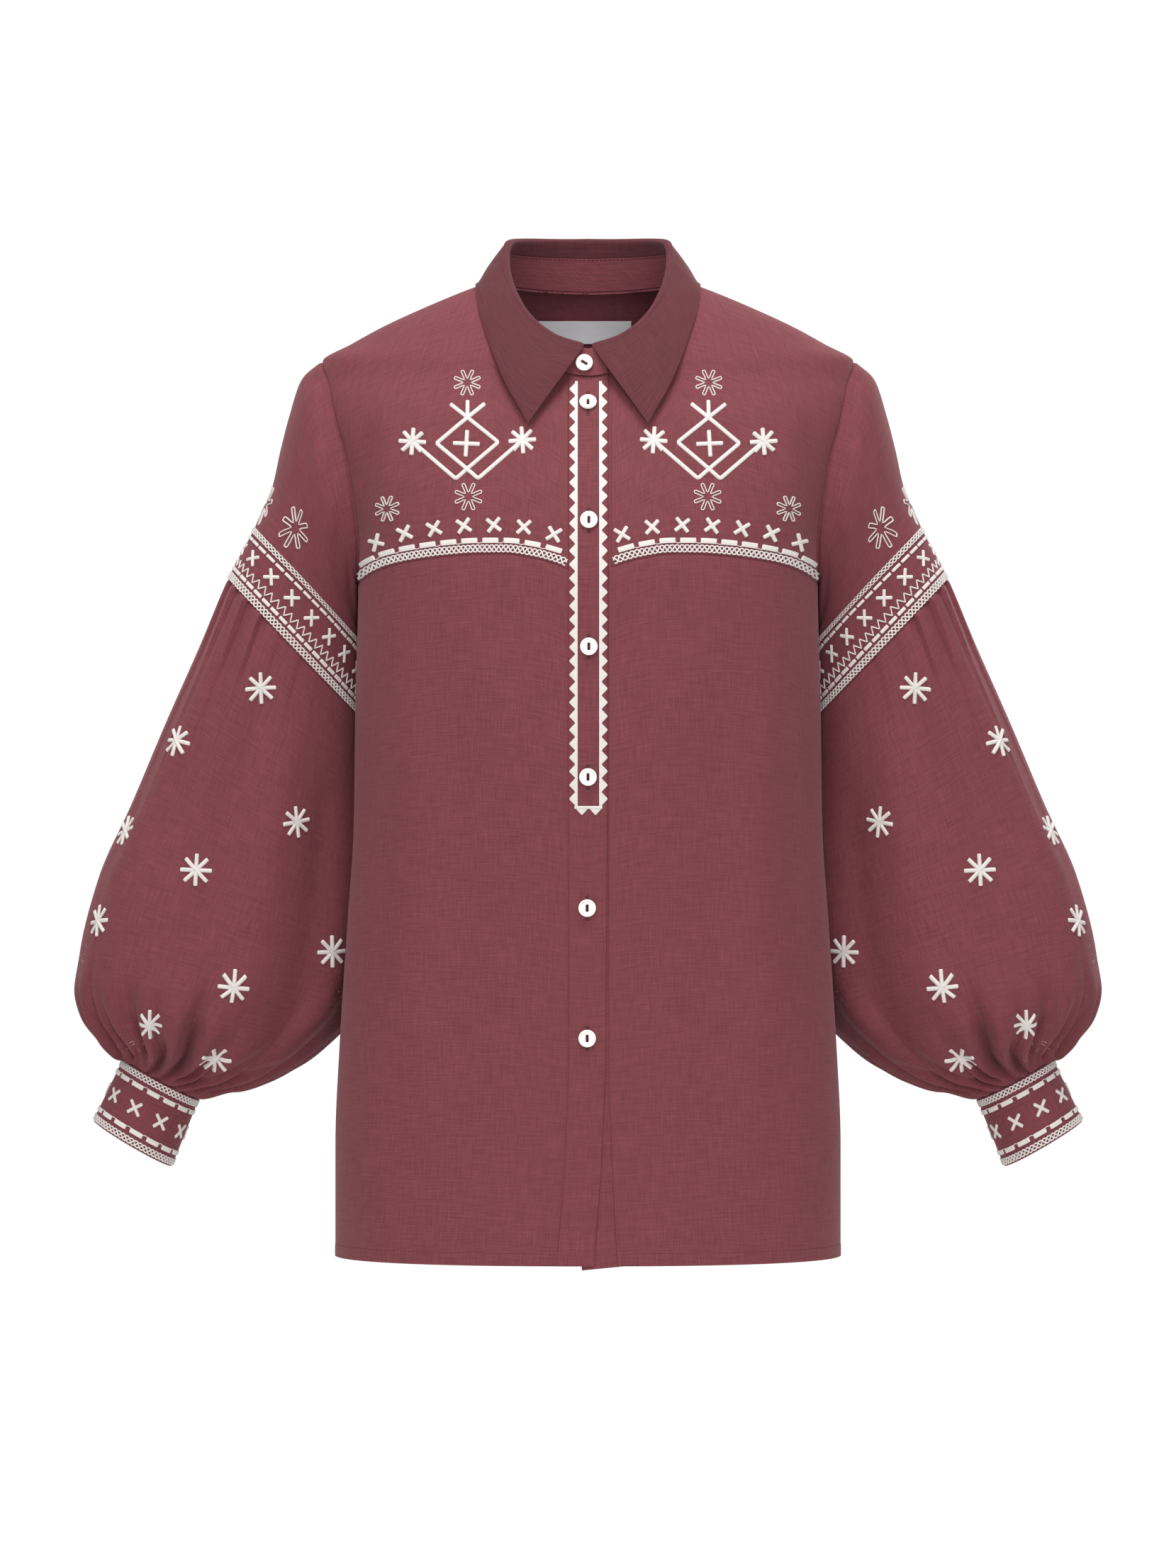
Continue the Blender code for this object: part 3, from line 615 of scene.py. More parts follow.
def gathers(rows, turns):
    """Lobes 2 |cos|^0.7 - 1 with round tops and narrow valleys, of the solid's number, which start
    lower or higher from one to the next. The sleeve's inner side is drawn in above the cuff.
    """
    angle = np.radians(turns)
    uneven = 1 + 0.25 * np.sin(3 * angle + 1.0) + 0.15 * np.sin(5 * angle)
    wander = angle + 0.03 * np.sin(4 * angle + 0.6)
    lobes = 2 * np.abs(np.cos(GATHERS / 2 * wander)) ** 0.7 - 1
    first = 10.9 + 0.9 * np.sin(7 * angle + 0.5) + 0.6 * np.sin(4 * angle)
    lobes = lobes * ease(rows[:, None], first - 1.0, first + 2.2)
    fine = 0.35 * np.cos(GATHERS * 2 * wander + 1.3) * ease(rows, 13.2, 15.4)[:, None]
    inner = ease(-np.cos(angle), 0.25, 0.85)
    lift = read(GATHER_LIFT, "lift", rows)[:, None] * uneven * (lobes + fine)
    drawn_in = INNER_DRAW * (ease(rows, 11.5, 13.5) * (1 - ease(rows, 15.0, 16.0)))[:, None] * inner
    return lift * (1 - 0.6 * inner) - drawn_in


def tucks(rows, turns):
    """Pleats below the sleeve's band, flatter towards the inner side: each rises evenly and then drops."""
    from_top = np.minimum(turns, 360 - turns)
    last = TUCK_FIRST + TUCKS * TUCK_PITCH
    inside = ease(from_top, TUCK_FIRST - 5, TUCK_FIRST) * (1 - ease(from_top, last - 5, last))
    share = np.mod((from_top - TUCK_FIRST) / TUCK_PITCH, 1)
    top = 1 - PLEAT_TURN
    pleat = np.where(share < top, 2 * share / top - 1, 1 - 2 * ease(share, top, 1))
    flatter = 1 - 0.75 * ease(from_top, 58, 74)
    lift = read(TUCK_LIFT, "lift", rows)[:, None] * inside * flatter * pleat
    return np.where(rows[:, None] > SEAM_ROW, lift, 0)


def sleeve_relief(rows, turns):
    """Gathers, tucks and creases of the sleeve, in mm out of its plain form."""
    names = ("turn_top", "row_top", "turn_low", "row_low")
    creases = folds(SLEEVE_FOLDS, turns[None, :], rows[:, None], names)
    depth = bpy.context.scene.shirt_cloth.creases
    return gathers(rows, turns) + tucks(rows, turns) + depth * creases


def sleeve_grid(rows, turns):
    """Outer face and normals of the left sleeve, by row and turn (turns go once round)."""
    loops = np.concatenate([armhole_loop(turns)[None], loop(SLEEVE, turns)])
    points = smooth(np.arange(len(loops)), loops, rows)
    inner = ease(-np.cos(np.radians(turns)), 0.3, 0.9)
    points[..., 0] -= UNDERARM_PULL * inner * (ease(rows, 0.2, 1.0) * (1 - ease(rows, 3.5, 6.0)))[:, None]
    plain = clear_of_trunk(points, SLEEVE_CLEAR, ease(rows, 0.0, 0.9)[:, None], 0.5)
    normals = grid_normals(plain, around=True)
    return plain + sleeve_relief(rows, turns)[..., None] * normals, normals


def cuff_points(turns, share):
    """The cuff's plain form, straight from the sleeve's last loop (0) to the cuff's edge (1)."""
    top = loop({name: column[-1:] for name, column in SLEEVE.items()}, turns)
    return lerp(top, loop(CUFF_EDGE, turns), np.asarray(share)[:, None, None])


def cuff_grid(turns, share):
    """Outer face and normals of the cuff band, whose last end is lifted over its first."""
    points = cuff_points(turns, share)
    normals = grid_normals(points)
    lifted = ease(turns - CUFF_LAP_AT, 310.0, 350.0)[None, :, None]
    down = (points[-1:] - points[:1]) * CUFF_DROP / CUFF_HEIGHT * (1 - np.asarray(share)[:, None, None])
    return points + lifted * (CUFF_LIFT * normals + down), normals


# Collar


def fold_turn(turns):
    """Degrees from the middle of the front, the same on both sides."""
    turns = np.mod(turns, 360)
    return np.minimum(turns, 360 - turns)


def outwards(turns):
    """Level unit vectors away from the neck."""
    angle = np.radians(turns)
    return join(np.sin(angle), -np.cos(angle), 0)


def neck_wall(turns, share):
    """The collar's upright face, from the neck seam (0) to the fold (1), with the front lap."""
    angle = np.radians(turns)
    reach = np.where(np.cos(angle) > 0, -FOLD_REACH[FRONT], -FOLD_REACH[BACK])
    fold = join(FOLD_HALF * np.sin(angle), reach * np.cos(angle), read(FOLD, "z", fold_turn(turns)))
    lift = STAND_LIFT * ease(turns, 330.0, 348.0)
    return lerp(neck_ring(turns), fold, share) + lift[:, None] * outwards(turns)


def leaf_middle(turns, falls):
    """The leaf's middle surface: up from the stand, round the fold's arc and down to its edge."""
    top_share = read(STAND_SHARE, "share", fold_turn(turns))[:, None]
    start = neck_wall(turns, top_share) + (0, 0, GAP / 2)
    before_fold = neck_wall(turns, 1.0) - (0, 0, FOLD_RADIUS)
    out = outwards(turns)
    rows = [lerp(start, before_fold, share) for share in (0.0, 0.2, 0.5, 0.8, 0.95)]
    for angle in np.radians(np.linspace(165, 15, 11)):
        around = (1 + math.cos(angle)) * out + (0, 0, 1) * np.full((len(turns), 1), math.sin(angle))
        rows.append(before_fold + FOLD_RADIUS * around)
    first_fall = len(rows)
    outside = before_fold + 2 * FOLD_RADIUS * out
    mirror = np.where(np.mod(turns, 360) > 180, -1, 1)
    edge = smooth(LEAF_EDGE["turn"], join(LEAF_EDGE["x"], LEAF_EDGE["y"], LEAF_EDGE["z"]), fold_turn(turns))
    edge[:, 0] *= mirror
    for fall in falls:
        rows.append(lerp(outside, edge, fall) + 2.0 * math.sin(math.pi * fall) * out)
    grid = np.stack(rows)
    grid[first_fall:] = clear_of_trunk(grid[first_fall:], LEAF_CLEAR + COLLAR_CLOTH / 2, 1.0, 2.0)
    return grid


# Seam allowances, which lie behind the next piece and close the seam

ALLOWANCE = 3.5
DEPTH = 1.6  # of an allowance behind the outer face
BACK_DEPTH = 1.2  # of the back's
TUCKED = ((ALLOWANCE, DEPTH), (0.6, 1.75))  # how far past the edge, and how deep


def behind(points, way, reach, depth):
    """Points moved along a way and then to a depth behind the trunk's outer face, by two Newton steps."""
    moved = points + reach * way
    for _ in range(2):
        slope = trunk_slope(moved)
        off = (1 - trunk_value(moved)) / np.linalg.norm(slope, axis=-1)
        moved = off_trunk(moved, off)
    return off_trunk(moved, np.full(moved.shape[:-1], -depth))


# Meshes


def make_mesh(name, points, quads, corner_uv, sharp=50):
    """Mesh object of quads, faces turned out by the sign of its volume."""
    mesh = bpy.data.meshes.new(name)
    mesh.vertices.add(len(points))
    mesh.vertices.foreach_set("co", (points * MM).astype(np.float32).ravel())
    mesh.loops.add(quads.size)
    mesh.loops.foreach_set("vertex_index", quads.astype(np.int32).ravel())
    mesh.polygons.add(len(quads))
    mesh.polygons.foreach_set("loop_start", np.arange(0, quads.size, 4, dtype=np.int32))
    mesh.update(calc_edges=True)
    mesh.uv_layers.new(name="cloth").data.foreach_set("uv", corner_uv.astype(np.float32).ravel())
    corners = points[quads]
    volume = 0.0
    for a, b, c in ((0, 1, 2), (0, 2, 3)):
        volume += np.einsum("ij,ij->", corners[:, a], np.cross(corners[:, b], corners[:, c]))
    if volume < 0:
        mesh.flip_normals()
    mesh.shade_smooth()
    mesh.set_sharp_from_angle(angle=math.radians(sharp))
    return new_object(name, mesh)


def new_object(name, data):
    """An object in the scene, at the origin."""
    made = bpy.data.objects.new(name, data)
    bpy.context.scene.collection.objects.link(made)
    return made


def dress(piece, material, nodes=()):
    """Gives a piece its material and its body, and hides the solids it stands for."""
    piece.data.materials.append(material)
    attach(piece, BODY)
    if nodes:
        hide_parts(*nodes)
    return piece


def arc_lengths(grid, axis):
    """Running length along an axis of a grid of points, from 0."""
    steps = np.linalg.norm(np.diff(grid, axis=axis), axis=-1)
    start = [(0, 0), (0, 0)]
    start[axis] = (1, 0)
    return np.cumsum(np.pad(steps, start), axis=axis)


def cloth_uv(grid, width=None):
    """Place in the cloth in metres: the length along the row, or a share of the cut's width."""
    down = np.broadcast_to(arc_lengths(grid, 0).mean(axis=1, keepdims=True), grid.shape[:2])
    if width is None:
        across = arc_lengths(grid, 1)
    else:
        across = np.broadcast_to(np.linspace(0, width, grid.shape[1]), grid.shape[:2])
    return np.stack([across, down], axis=-1) * MM


def shell(name, outer, inner, around=False, width=None):
    """Closed shell between two grids. A shell that goes round has its first column again as last."""
    uv = cloth_uv(outer, width)
    rows, columns = outer.shape[:2]
    used = columns - 1 if around else columns
    number = np.arange(rows * used).reshape(rows, used)
    if around:
        number = np.concatenate([number, number[:, :1]], axis=1)
    below = number + rows * used
    quads, corners = [], []

    def add_quads(corner_numbers, corner_places):
        quads.append(np.stack(corner_numbers, axis=-1).reshape(-1, 4))
        corners.append(np.stack(corner_places, axis=-2).reshape(-1, 4, 2))

    def face(grid, turned):
        here, ahead = slice(-1), slice(1, None)
        cells = [(here, here), (here, ahead), (ahead, ahead), (ahead, here)]
        cells = cells[::-1] if turned else cells
        add_quads([grid[cell] for cell in cells], [uv[cell] for cell in cells])

    def edge(a, b, places):
        add_quads([a[1:], a[:-1], b[:-1], b[1:]], [places[1:], places[:-1], places[:-1], places[1:]])

    face(number, False)
    face(below, True)
    edge(number[0], below[0], uv[0])
    edge(below[-1], number[-1], uv[-1])
    if not around:
        edge(below[:, 0], number[:, 0], uv[:, 0])
        edge(number[:, -1], below[:, -1], uv[:, -1])
    points = np.concatenate([outer[:, :used].reshape(-1, 3), inner[:, :used].reshape(-1, 3)])
    return make_mesh(name, points, np.concatenate(quads), np.concatenate(corners))


def declare_cut(grid, held):
    """Measures the flat size that a piece was cut to, its longest row and column, and keeps neither."""
    width = float(arc_lengths(grid, 1)[:, -1].max()) * MM
    length = float(arc_lengths(grid, 0)[-1].max()) * MM


def sew(node, faces, held, cloth="washed_linen", measured=0, **shape):
    """A piece of cloth between its first two faces, which stands for a solid, and its cut, which is
    measured on one of its faces.
    """
    piece = shell(node + "_cloth", *faces[:2], **shape)
    dress(piece, finish(cloth), [node])
    declare_cut(faces[measured], held)
    return piece


# Stitches

# Rings of a bar, as shares of half its width and of its height. A satin stitch is domed, a flat
# one is level on top, and a thread is round. The last points lie sunk in the cloth.
SATIN_RING = np.array(
    [(-1, 0), (-0.84, 0.56), (-0.36, 0.95), (0.36, 0.95), (0.84, 0.56), (1, 0), (0.8, -0.5), (-0.8, -0.5)]
)
FLAT_RING = np.array(
    [(-1, 0), (-0.96, 0.8), (-0.5, 1), (0.5, 1), (0.96, 0.8), (1, 0), (0.8, -0.5), (-0.8, -0.5)]
)
THREAD_RING = np.array([(-1, 0.1), (-0.6, 0.9), (0.6, 0.9), (1, 0.1), (0.6, -0.5), (-0.6, -0.5)])
# The quads that close the ends of a bar, by the number of its sides.
CAPS = {8: np.array([(0, 1, 6, 7), (1, 2, 5, 6), (2, 3, 4, 5)]), 6: np.array([(0, 1, 4, 5), (1, 2, 3, 4)])}


class Stitches:
    """Raised bars in the cloth's flat millimetres, kept as points, quads and places in the thread."""

    def __init__(self):
        self.points, self.quads, self.uv, self.count = [], [], [], 0

    def bar(self, path, width, height, ring=SATIN_RING, rise=0.0, blunt=0.25):
        """A bar along a flat path: its ring, scaled by width and height, at each point of the path.

        Both ends narrow over blunt times the width. Width may be given for each point.
        """
        path = np.asarray(path, float)
        width = np.broadcast_to(np.asarray(width, float), len(path))
        along = arc_lengths(path[None], 1)[0]
        if blunt:
            reach = min(blunt * width.max(), 0.3 * along[-1])
            ends = np.array([0.0, 0.35 * reach, reach])
            between = along[(along > reach) & (along < along[-1] - reach)]
            stops = np.unique(np.concatenate([ends, between, along[-1] - ends]))
            path = np.stack([np.interp(stops, along, path[:, k]) for k in (0, 1)], axis=-1)
            width = np.interp(stops, along, width)
            to_end = np.minimum(stops, stops[-1] - stops)
            width = width * np.interp(to_end, ends, [0.66, 0.92, 1.0])
            height = height * np.interp(to_end, ends, [0.55, 0.88, 1.0])
            along = stops
        tangent = unit(np.gradient(path, axis=0))
        sideways = np.stack([-tangent[:, 1], tangent[:, 0]], axis=-1)
        across = ring[None, :, 0] * width[:, None] / 2
        level = ring[None, :, 1] * np.broadcast_to(height, len(path))[:, None] + rise
        flat = path[:, None] + across[..., None] * sideways[:, None]
        uv = np.stack([np.broadcast_to(along[:, None], across.shape), across], axis=-1) * MM
        self.add(np.concatenate([flat, level[..., None]], axis=-1), uv)

    def add(self, rings, uv):
        """Rings joined by quads and closed at both ends."""
        count, sides = rings.shape[:2]
        number = np.arange(count * sides).reshape(count, sides) + self.count
        turned = np.roll(number, -1, axis=1)
        tube = np.stack([number[:-1], turned[:-1], turned[1:], number[1:]], axis=-1).reshape(-1, 4)
        caps = CAPS[sides]
        self.quads += [tube, number[0][caps][:, ::-1], number[-1][caps]]
        self.points.append(rings.reshape(-1, 3))
        self.uv.append(uv.reshape(-1, 2))
        self.count += count * sides

    def cross(self, middle, length, width, height, turn=0.0, arms=2):
        """Straight bars through one middle, evenly turned, the later ones a little higher."""
        for k in range(arms):
            angle = math.radians(turn + 180 * k / arms)
            arm = 0.5 * length * np.array([math.cos(angle), math.sin(angle)])
            steps = np.linspace(-1, 1, max(4, int(length / 1.3)))
            self.bar(np.asarray(middle) + steps[:, None] * arm, width, height * (1 + 0.22 * k))

    def outline_star(self, middle, radius, turn=0.0, thread=0.85, narrow=1.0):
        """A thin line round eight petals: out along one side, round the end and back in."""
        petals, inner, half = 8, 0.3 * radius, 0.105 * radius
        one_side = [(0.42, -0.9), (0.7, -1), (0.94, -1), (1, -0.7)]
        out_and_in = one_side + [(reach, -off) for reach, off in one_side[::-1]]
        path = []
        for k in range(petals + 1):
            angle = math.radians(turn + 360 * k / petals)
            out = np.array([math.cos(angle), math.sin(angle)])
            side = np.array([-out[1], out[0]])
            for reach, off in out_and_in:
                path.append(reach * radius * out + off * half * side)
            between = math.radians(turn + 360 * (k + 0.5) / petals)
            path.append(inner * np.array([math.cos(between), math.sin(between)]))
        path = np.array(path[: petals * (len(out_and_in) + 1) + 1]) * (narrow, 1)
        self.bar(np.asarray(middle) + path, thread, thread * 0.8, THREAD_RING)


def stitch(name, parts, side=LEFT, thread="embroidery_cotton"):
    """One mesh of groups of bars. Each group is laid on the cloth by a rule of its own, which turns
    flat millimetres and height into points, and the whole is mirrored to its side.
    """
    points, quads, uv, count = [], [], [], 0
    for stitches, place in parts:
        flat = np.concatenate(stitches.points)
        points.append(place(flat[:, 0], flat[:, 1], flat[:, 2]) * (side, 1, 1))
        quads += [some + count for some in stitches.quads]
        uv += stitches.uv
        count += stitches.count
    quads = np.concatenate(quads)
    made = make_mesh(name, np.concatenate(points), quads, np.concatenate(uv)[quads], sharp=60)
    return dress(made, finish(thread))


def round_corners(corners, radius, steps=6):
    """A path through corners, each rounded by a quadratic curve."""
    corners = np.asarray(corners, float)
    path = [corners[0]]
    for before, corner, after in zip(corners, corners[1:], corners[2:]):
        start = corner + radius * unit(before - corner)
        end = corner + radius * unit(after - corner)
        for t in np.linspace(0, 1, steps):
            path.append((1 - t) ** 2 * start + 2 * t * (1 - t) * corner + t**2 * end)
    path.append(corners[-1])
    return refine(np.array(path))


def refine(path, step=1.4):
    """The same path with points no further apart than a step."""
    along = arc_lengths(path[None], 1)[0]
    stops = np.unique(np.concatenate([along, np.linspace(0, along[-1], int(along[-1] / step) + 2)]))
    stops = stops[np.concatenate([[True], np.diff(stops) > 0.05])]
    return np.stack([np.interp(stops, along, path[:, k]) for k in (0, 1)], axis=-1)


def braid(stitches, start, end, level, width=5.6, repeat=10.4, thread=1.15, height=0.9):
    """A plait of three strands: level + half width sin(2 pi u / repeat), each a third further on."""
    count = max(2, int(round((end - start) / repeat)))
    u = np.linspace(start, end, count * 12 + 1)
    phase = 2 * math.pi * count * (u - start) / (end - start)
    for strand in range(3):
        across = (width - thread) / 2 * np.sin(phase + 2 * math.pi * strand / 3)
        path = np.stack([u, level + across], axis=-1)
        stitches.bar(path, thread, height, THREAD_RING, rise=0.09 * strand, blunt=0)


def dashes(stitches, start, end, level, length, width, pitch, height=0.95, linked=True):
    """A row of satin dashes, joined by a thin thread."""
    count = max(1, int(round((end - start) / pitch)))
    step = (end - start) / count
    for k in range(count):
        middle = start + (k + 0.5) * step
        u = np.linspace(middle - length / 2, middle + length / 2, 9)
        stitches.bar(np.stack([u, np.full(9, level)], axis=-1), width, height, FLAT_RING, blunt=0.15)
        if linked and k < count - 1:
            link = [
                (middle + length / 2 - 1, level - 0.2 * width),
                (middle + step / 2, level - 0.5 * width),
                (middle + step - length / 2 + 1, level - 0.4 * width),
            ]
            stitches.bar(link, 0.7, 0.5, THREAD_RING, blunt=0)


# Materials


def linear(colour):
    """An sRGB hex colour as linear red, green, blue and alpha."""
    values = [int(colour[k : k + 2], 16) / 255 for k in (1, 3, 5)]
    return tuple(v / 12.92 if v <= 0.04045 else ((v + 0.055) / 1.055) ** 2.4 for v in values) + (1.0,)


def add(tree, kind, inputs=None, **settings):
    """Adds a node with its settings. An input is a value, or a socket to link from."""
    made = tree.nodes.new(kind)
    for name, value in settings.items():
        setattr(made, name, value)
    for key, value in (inputs or {}).items():
        if isinstance(value, bpy.types.NodeSocket):
            tree.links.new(value, made.inputs[key])
        else:
            made.inputs[key].default_value = value
    return made


def start_material(name, place="UV"):
    """A material, its tree and the place in the cloth, which the pieces' UV maps hold in metres."""
    made = bpy.data.materials.new(name)
    made.use_nodes = True
    made.node_tree.nodes.clear()
    return made, made.node_tree, add(made.node_tree, "ShaderNodeTexCoord").outputs[place]


def end_material(made, inputs):
    """Ends a material with one Principled shader, its inputs set or linked, and the output."""
    shader = add(made.node_tree, "ShaderNodeBsdfPrincipled", inputs)
    add(made.node_tree, "ShaderNodeOutputMaterial", {"Surface": shader.outputs["BSDF"]})
    return made


def stretched_noise(tree, uv, per_metre, detail=2.0):
    """Uneven cloth: noise with its own number of cells to a metre along and across."""
    placed = add(tree, "ShaderNodeMapping", {"Vector": uv, "Scale": (*per_metre, 1.0)}).outputs[0]
    inputs = {"Vector": placed, "Scale": 1.0, "Detail": detail, "Roughness": 0.6}
    return add(tree, "ShaderNodeTexNoise", inputs).outputs["Fac"]


def toned(colour, share):
    """A colour made darker or lighter by a factor, with its alpha."""
    return tuple(min(v * share, 1.0) for v in colour) + (1.0,)


DARK, LIGHT, MIXED = 6, 7, 2  # the colour sockets of a Mix node, and its colour output

# Noise of the linen: cells to a metre along and across, detail, and share in the whole. Threads
# are 0.67 mm and 1.1 mm wide both ways, which is coarser than the real ones so that they show,
# and 17 to 38 mm long. The last row is broad patches of 60 to 80 mm.
SLUBS = [
    ((55, 1500), 2.0, 1.0),
    ((1500, 60), 2.0, 1.0),
    ((30, 900), 1.0, 0.45),
    ((900, 26), 1.0, 0.35),
    ((16, 12), 3.0, 0.16),
]


def linen(name, painted_light_and_shade=1.0):
    """Washed linen in plain weave: matt, with a little fuzz, and with long slubs both ways."""
    cloth = bpy.context.scene.shirt_cloth
    made, tree, uv = start_material(name)
    threads = 0.0
    for per_metre, detail, share in SLUBS:
        inputs = {0: stretched_noise(tree, uv, per_metre, detail), 1: share, 2: threads}
        threads = add(tree, "ShaderNodeMath", inputs, operation="MULTIPLY_ADD").outputs[0]
    lit = add(tree, "ShaderNodeMapRange", {"Value": threads, "From Min": 1.0, "From Max": 1.95})
    # The last factor scales the whole colour: below 1 it paints shade, on the collar's leaf, and above 1 it
    # paints light, on the collar's stand.
    dark, light = toned(cloth.colour, 0.66 * painted_light_and_shade), toned(cloth.colour, 1.36 * painted_light_and_shade)
    inputs = {0: lit.outputs[0], DARK: dark, LIGHT: light}
    colour = add(tree, "ShaderNodeMix", inputs, data_type="RGBA").outputs[MIXED]
    waves = []
    for way in list(add(tree, "ShaderNodeSeparateXYZ", {0: uv}).outputs)[:2]:
        angle = add(tree, "ShaderNodeMath", {0: way, 1: math.pi / cloth.thread_spacing}, operation="MULTIPLY")
        waves.append(add(tree, "ShaderNodeMath", {0: angle.outputs[0]}, operation="SINE").outputs[0])
    weave = add(tree, "ShaderNodeMath", dict(enumerate(waves)), operation="MULTIPLY").outputs[0]
    height = add(tree, "ShaderNodeMath", {0: weave, 1: 0.35, 2: threads}, operation="MULTIPLY_ADD").outputs[0]
    bump = add(tree, "ShaderNodeBump", {"Height": height, "Strength": 0.55, "Distance": 0.28 * MM})
    look = {
        "Base Color": pinpricks(tree, uv, colour),
        "Normal": bump.outputs[0],
        "Roughness": 0.86,
        "Specular IOR Level": 0.2,
        "Sheen Weight": 0.2,
        "Sheen Roughness": 0.45,
        "Sheen Tint": linear("#d9a9ac"),
    }
    return end_material(made, look)


def pinpricks(tree, uv, colour):
    """Pale points where light shows through thin cloth: bright cells of noise, 1.6 mm apart, where
    the attribute thin is painted.
    """
    thin = add(tree, "ShaderNodeAttribute", attribute_name="thin", attribute_type="GEOMETRY")
    cells = stretched_noise(tree, uv, (620, 620), 0.0)
    streaks = stretched_noise(tree, uv, (70, 330), 1.0)
    bright = add(tree, "ShaderNodeMath", {0: streaks, 1: 0.6, 2: cells}, operation="MULTIPLY_ADD").outputs[0]
    inputs = {"Value": bright, "From Min": 0.98, "From Max": 1.12, "To Max": 0.75}
    spots = add(tree, "ShaderNodeMapRange", inputs).outputs[0]
    amount = add(tree, "ShaderNodeMath", {0: spots, 1: thin.outputs["Fac"]}, operation="MULTIPLY").outputs[0]
    inputs = {0: amount, DARK: colour, LIGHT: linear("#c9a9a6")}
    return add(tree, "ShaderNodeMix", inputs, data_type="RGBA").outputs[MIXED]


def embroidery_thread(name):
    """Six-strand cotton: off-white with a soft sheen, its strands lying side by side across each bar."""
    threads = bpy.context.scene.shirt_threads
    made, tree, uv = start_material(name)
    shade = stretched_noise(tree, uv, (1600, 120), 1.0)
    lit = add(tree, "ShaderNodeMapRange", {"Value": shade, "From Min": 0.3, "From Max": 0.7}).outputs[0]
    inputs = {0: lit, DARK: toned(threads.colour, 0.82), LIGHT: toned(threads.colour, 1.0)}
    colour = add(tree, "ShaderNodeMix", inputs, data_type="RGBA").outputs[MIXED]
    along = add(tree, "ShaderNodeSeparateXYZ", {0: uv}).outputs[0]
    angle = add(tree, "ShaderNodeMath", {0: along, 1: 2 * math.pi / threads.strand}, operation="MULTIPLY")
    ridges = add(tree, "ShaderNodeMath", {0: angle.outputs[0]}, operation="SINE").outputs[0]
    height = add(tree, "ShaderNodeMath", {0: ridges, 1: 0.5, 2: shade}, operation="MULTIPLY_ADD").outputs[0]
    bump = add(tree, "ShaderNodeBump", {"Height": height, "Strength": 0.5, "Distance": 0.2 * MM})
    look = {
        "Base Color": colour,
        "Normal": bump.outputs[0],
        "Roughness": 0.6,
        "Specular IOR Level": 0.35,
        "Sheen Weight": 0.25,
        "Sheen Roughness": 0.4,
    }
    return end_material(made, look)


def self_thread(name):
    """Sewing thread dyed to match the cloth, drawn a quarter to four fifths as bright as it by noise: painted
    shade of the stitches sunk into it.
    """
    cloth = bpy.context.scene.shirt_cloth
    made, tree, uv = start_material(name)
    shade = stretched_noise(tree, uv, (900, 900), 1.0)
    # Both copies are darker than the cloth: painted shade of the stitches sunk into it.
    inputs = {0: shade, DARK: toned(cloth.colour, 0.25), LIGHT: toned(cloth.colour, 0.8)}
    colour = add(tree, "ShaderNodeMix", inputs, data_type="RGBA").outputs[MIXED]
    return end_material(made, {"Base Color": colour, "Roughness": 0.7, "Specular IOR Level": 0.3})


def button_resin(name):
    """Cast polyester, turned and polished: off-white, faintly clouded, with a clear gloss."""
    buttons = bpy.context.scene.shirt_buttons
    made, tree, place = start_material(name, "Object")
    cloud = add(tree, "ShaderNodeTexNoise", {"Vector": place, "Scale": 180.0, "Detail": 2.0}).outputs["Fac"]
    inputs = {0: cloud, DARK: toned(buttons.colour, 0.9), LIGHT: toned(buttons.colour, 1.0)}
    colour = add(tree, "ShaderNodeMix", inputs, data_type="RGBA").outputs[MIXED]
    look = {"Base Color": colour, "Roughness": 0.28, "IOR": 1.55, "Coat Weight": 0.3, "Coat Roughness": 0.12}
    return end_material(made, look)


def label_satin(name):
    """Woven polyester satin ribbon: pale silver grey, with fine ribs along it and a soft gloss."""
    made, tree, uv = start_material(name)
    ribs = stretched_noise(tree, uv, (60, 2200), 1.0)
    inputs = {0: ribs, DARK: linear("#dcdce0"), LIGHT: linear("#f8f8fa")}
    colour = add(tree, "ShaderNodeMix", inputs, data_type="RGBA").outputs[MIXED]
    bump = add(tree, "ShaderNodeBump", {"Height": ribs, "Strength": 0.3, "Distance": 0.1 * MM})
    look = {"Base Color": colour, "Normal": bump.outputs[0], "Roughness": 0.45, "Anisotropic": 0.4}
    return end_material(made, look)


# The collar is doubled, so no light shines through it. Its leaf is drawn in a darker copy of the linen,
# painted shade, and its stand, lit through the open neck, in a lighter copy, painted light.
MAKERS = {
    "washed_linen": linen,
    "collar_linen": lambda name: linen(name, 0.58),
    "stand_linen": lambda name: linen(name, 1.12),
    "embroidery_cotton": embroidery_thread,
    "matching_thread": self_thread,
    "polished_resin": button_resin,
    "satin_ribbon": label_satin,
}


def finish(name):
    """The material of that name, made the first time that it is asked for."""
    return bpy.data.materials.get(name) or MAKERS[name](name)


# Cloth pieces


def seam_dip(distance, depth=0.55, reach=1.1):
    """How far cloth sinks towards a seam: -depth exp(-(distance / reach)²)."""
    return -depth * np.exp(-((distance / reach) ** 2))


def thickness():
    """Of the cloth as drawn, in millimetres."""
    return bpy.context.scene.shirt_cloth.thickness / MM


def hem_rise(z):
    """The doubled hem stands out below its line of stitches."""
    return HEM_RISE * ease(-z, -HEM - HEM_TURN - 0.5, -HEM - HEM_TURN + 0.5)


def make_panel(node, outer, relief, side):
    """A trunk panel, out of its form by its relief and mirrored to its side."""
    faces = [off_trunk(outer, out) * (side, 1, 1) for out in (relief, relief - thickness())]
    sew(node, faces, "draped")


def front_columns(side):
    """Top edge, column shares and seam heights of a front."""
    first = math.degrees(math.asin(band_edge(-70.0, side) / NECK_HALF))
    turns = lerp(first, 90.0, np.linspace(0, 1, 24))
    x, z = top_edge(turns, 40, FRONT)
    share = (x - x[0]) / (x[-1] - x[0])
    return x, z, share, read(YOKE_SEAM, "z", front_x(share, -210.0, side))


